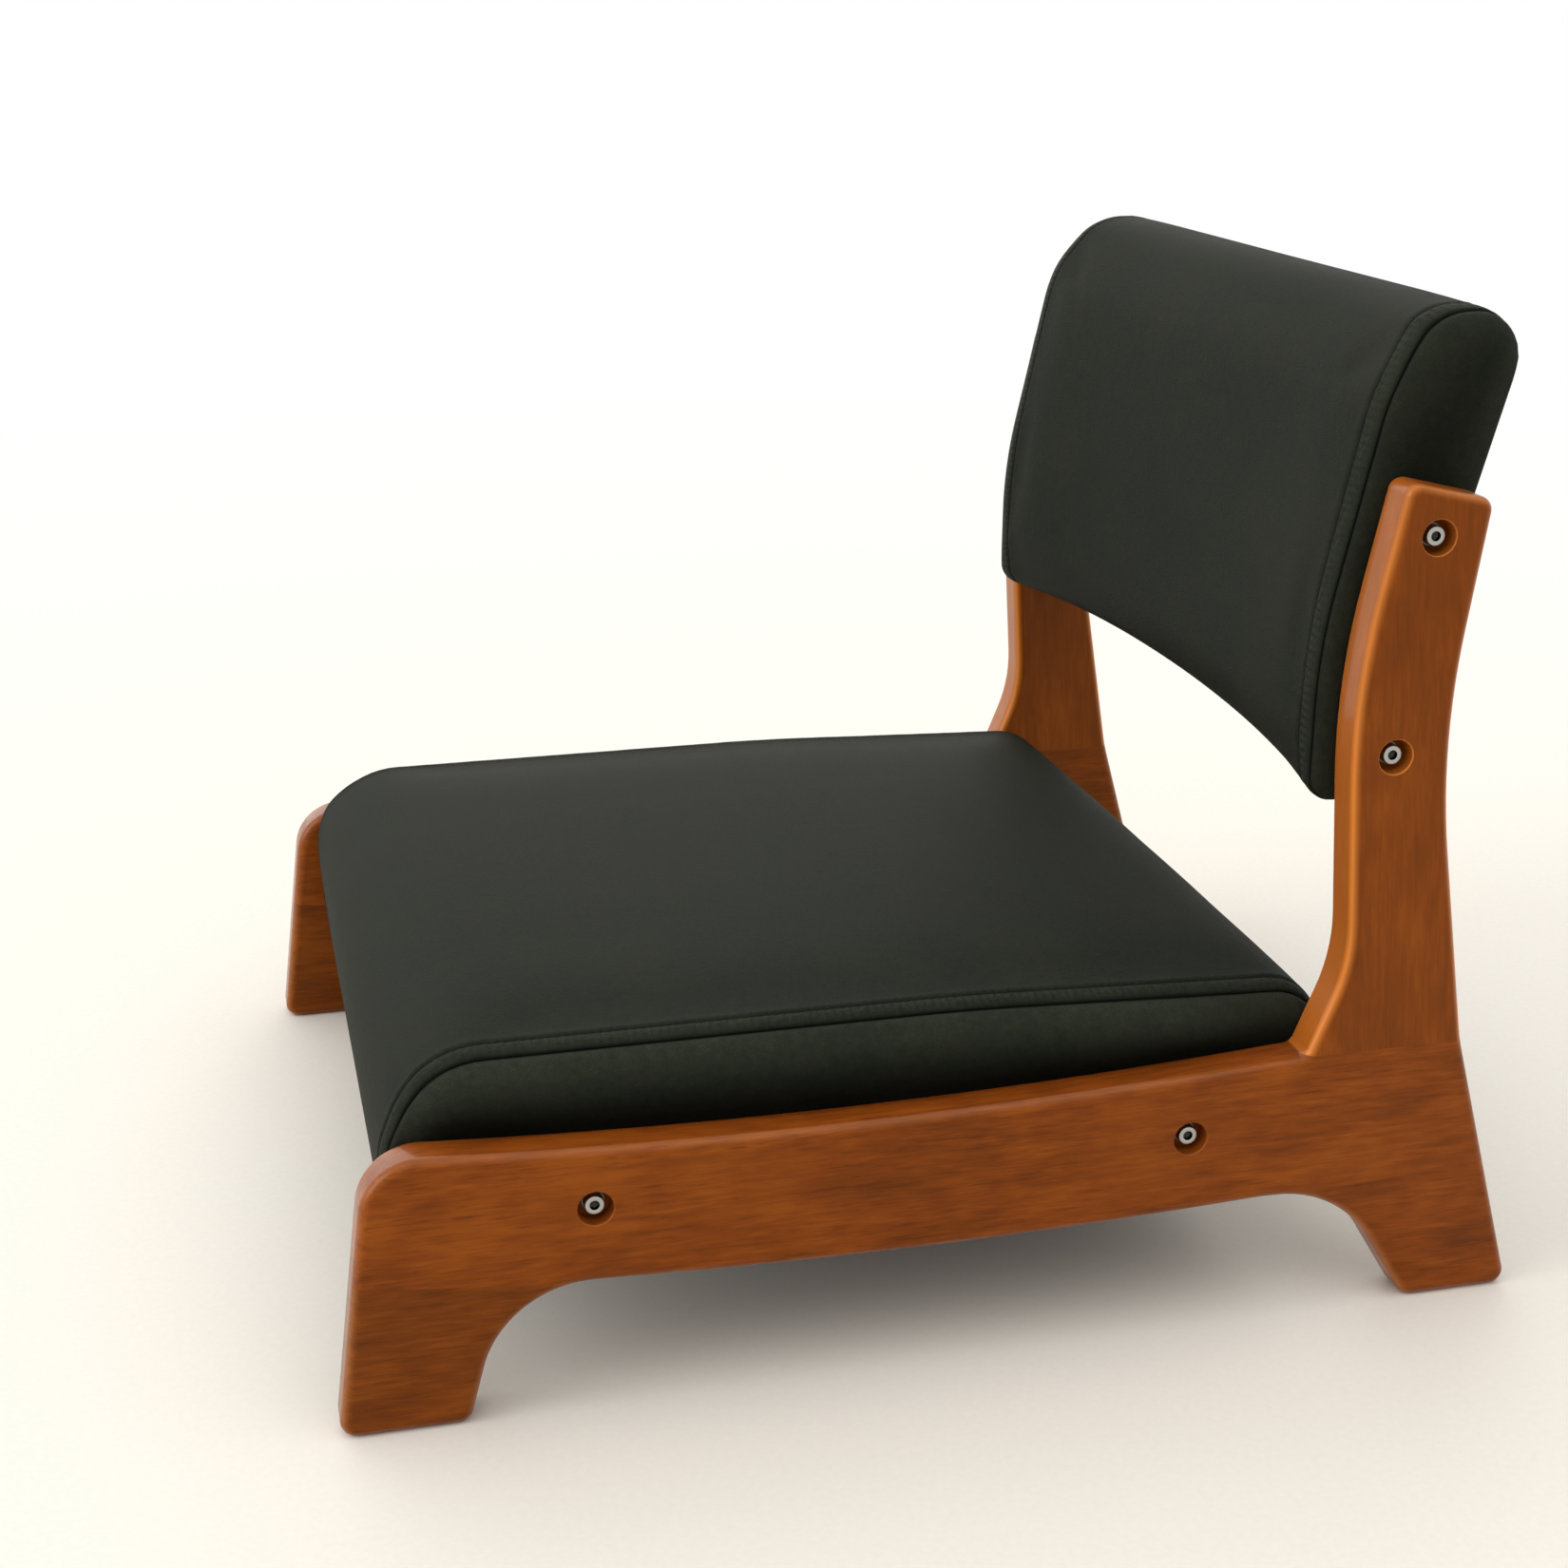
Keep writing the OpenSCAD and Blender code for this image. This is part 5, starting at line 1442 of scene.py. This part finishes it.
# %% [markdown]
# ## Floor and light
# The light is plain: a colour renders about as it is written. It all comes from the world,
# an even glow with four soft patches in it: beyond the chair as the camera sees it, above
# it, and two in front of the sitter. The white background is only for what the camera sees,
# directly or in shiny and clear surfaces: the world is white to those rays, and the floor
# fades to white away from the chair.

# %% The floor
FLOOR_SIZE = 6.0
WHITE_FROM, WHITE_AT = 0.55, 2.2
floor_mesh = bpy.data.meshes.new("floor")
corners = [(x * FLOOR_SIZE, y * FLOOR_SIZE, 0) for x, y in ((-1, -1), (1, -1), (1, 1), (-1, 1))]
floor_mesh.from_pydata(corners, [], [(0, 1, 2, 3)])
floor = bpy.data.objects.new("floor", floor_mesh)
scene.collection.objects.link(floor)


# %% The floor's look
def rays(tree):
    """What the camera sees, and what shiny and clear surfaces show of it."""
    path = add(tree, "ShaderNodeLightPath").outputs
    passed_on = math_node(tree, "MAXIMUM", path["Is Glossy Ray"], path["Is Transmission Ray"])
    return path["Is Camera Ray"], passed_on


pale, tree, shader = start_material("pale_floor")
fleck = noise(tree, object_place(tree), 300.0, 3.0)
set_inputs(tree, shader, {
    "Base Color": mixed(tree, fleck, srgb(229, 225, 217), srgb(237, 233, 226)), "Roughness": 0.9})
seen = math_node(tree, "MAXIMUM", *rays(tree))
far = vector_node(tree, "LENGTH", object_place(tree), output="Value")
fade = times(tree, stretch_range(tree, far, WHITE_FROM, WHITE_AT), seen)
white = add(tree, "ShaderNodeEmission")
blend = add(tree, "ShaderNodeMixShader", {0: fade, 1: shader.outputs[0], 2: white.outputs[0]})
output = next(node for node in tree.nodes if node.type == "OUTPUT_MATERIAL")
tree.links.new(blend.outputs[0], output.inputs["Surface"])
floor_mesh.materials.append(pale)

# %% The light
# Each patch: its direction, the cosines at its rim and its heart, its power.
EVEN_GLOW = 0.29
PATCHES = (
    ((-0.93, 0.02, 0.37), 0.70, 0.93, 1.7), ((-0.30, -0.86, 0.42), 0.72, 0.95, 1.02),
    ((0.35, 0.1, 0.93), 0.50, 0.93, 1.16), ((0.16, -0.88, 0.45), 0.90, 0.98, 2.7),
)
WARM_WHITE, PLAIN_WHITE = (1.0, 0.985, 0.955, 1), (1, 1, 1, 1)
world = bpy.data.worlds.new("studio")
world.use_nodes = True
tree = world.node_tree
look_way = add(tree, "ShaderNodeTexCoord").outputs["Generated"]
glow = EVEN_GLOW
for way, rim, heart, power in PATCHES:
    facing = vector_node(tree, "DOT_PRODUCT", look_way, Vector(way).normalized(), output="Value")
    soft = add(tree, "ShaderNodeMapRange", {
        "Value": facing, "From Min": rim, "From Max": heart, "To Max": power,
    }, interpolation_type="SMOOTHSTEP")
    glow = math_node(tree, "ADD", soft.outputs[0], glow)
by_camera, by_mirror = rays(tree)
strength = stretch_range(tree, by_camera, 0.0, 1.0, math_node(tree, "MAXIMUM", glow, by_mirror), 1.0)
set_inputs(tree, tree.nodes["Background"], {
    "Strength": strength, "Color": mixed(tree, by_camera, WARM_WHITE, PLAIN_WHITE)})
scene.world = world
scene.view_settings.view_transform = "Standard"
print("light: an even glow of", EVEN_GLOW, "and", len(PATCHES), "patches")
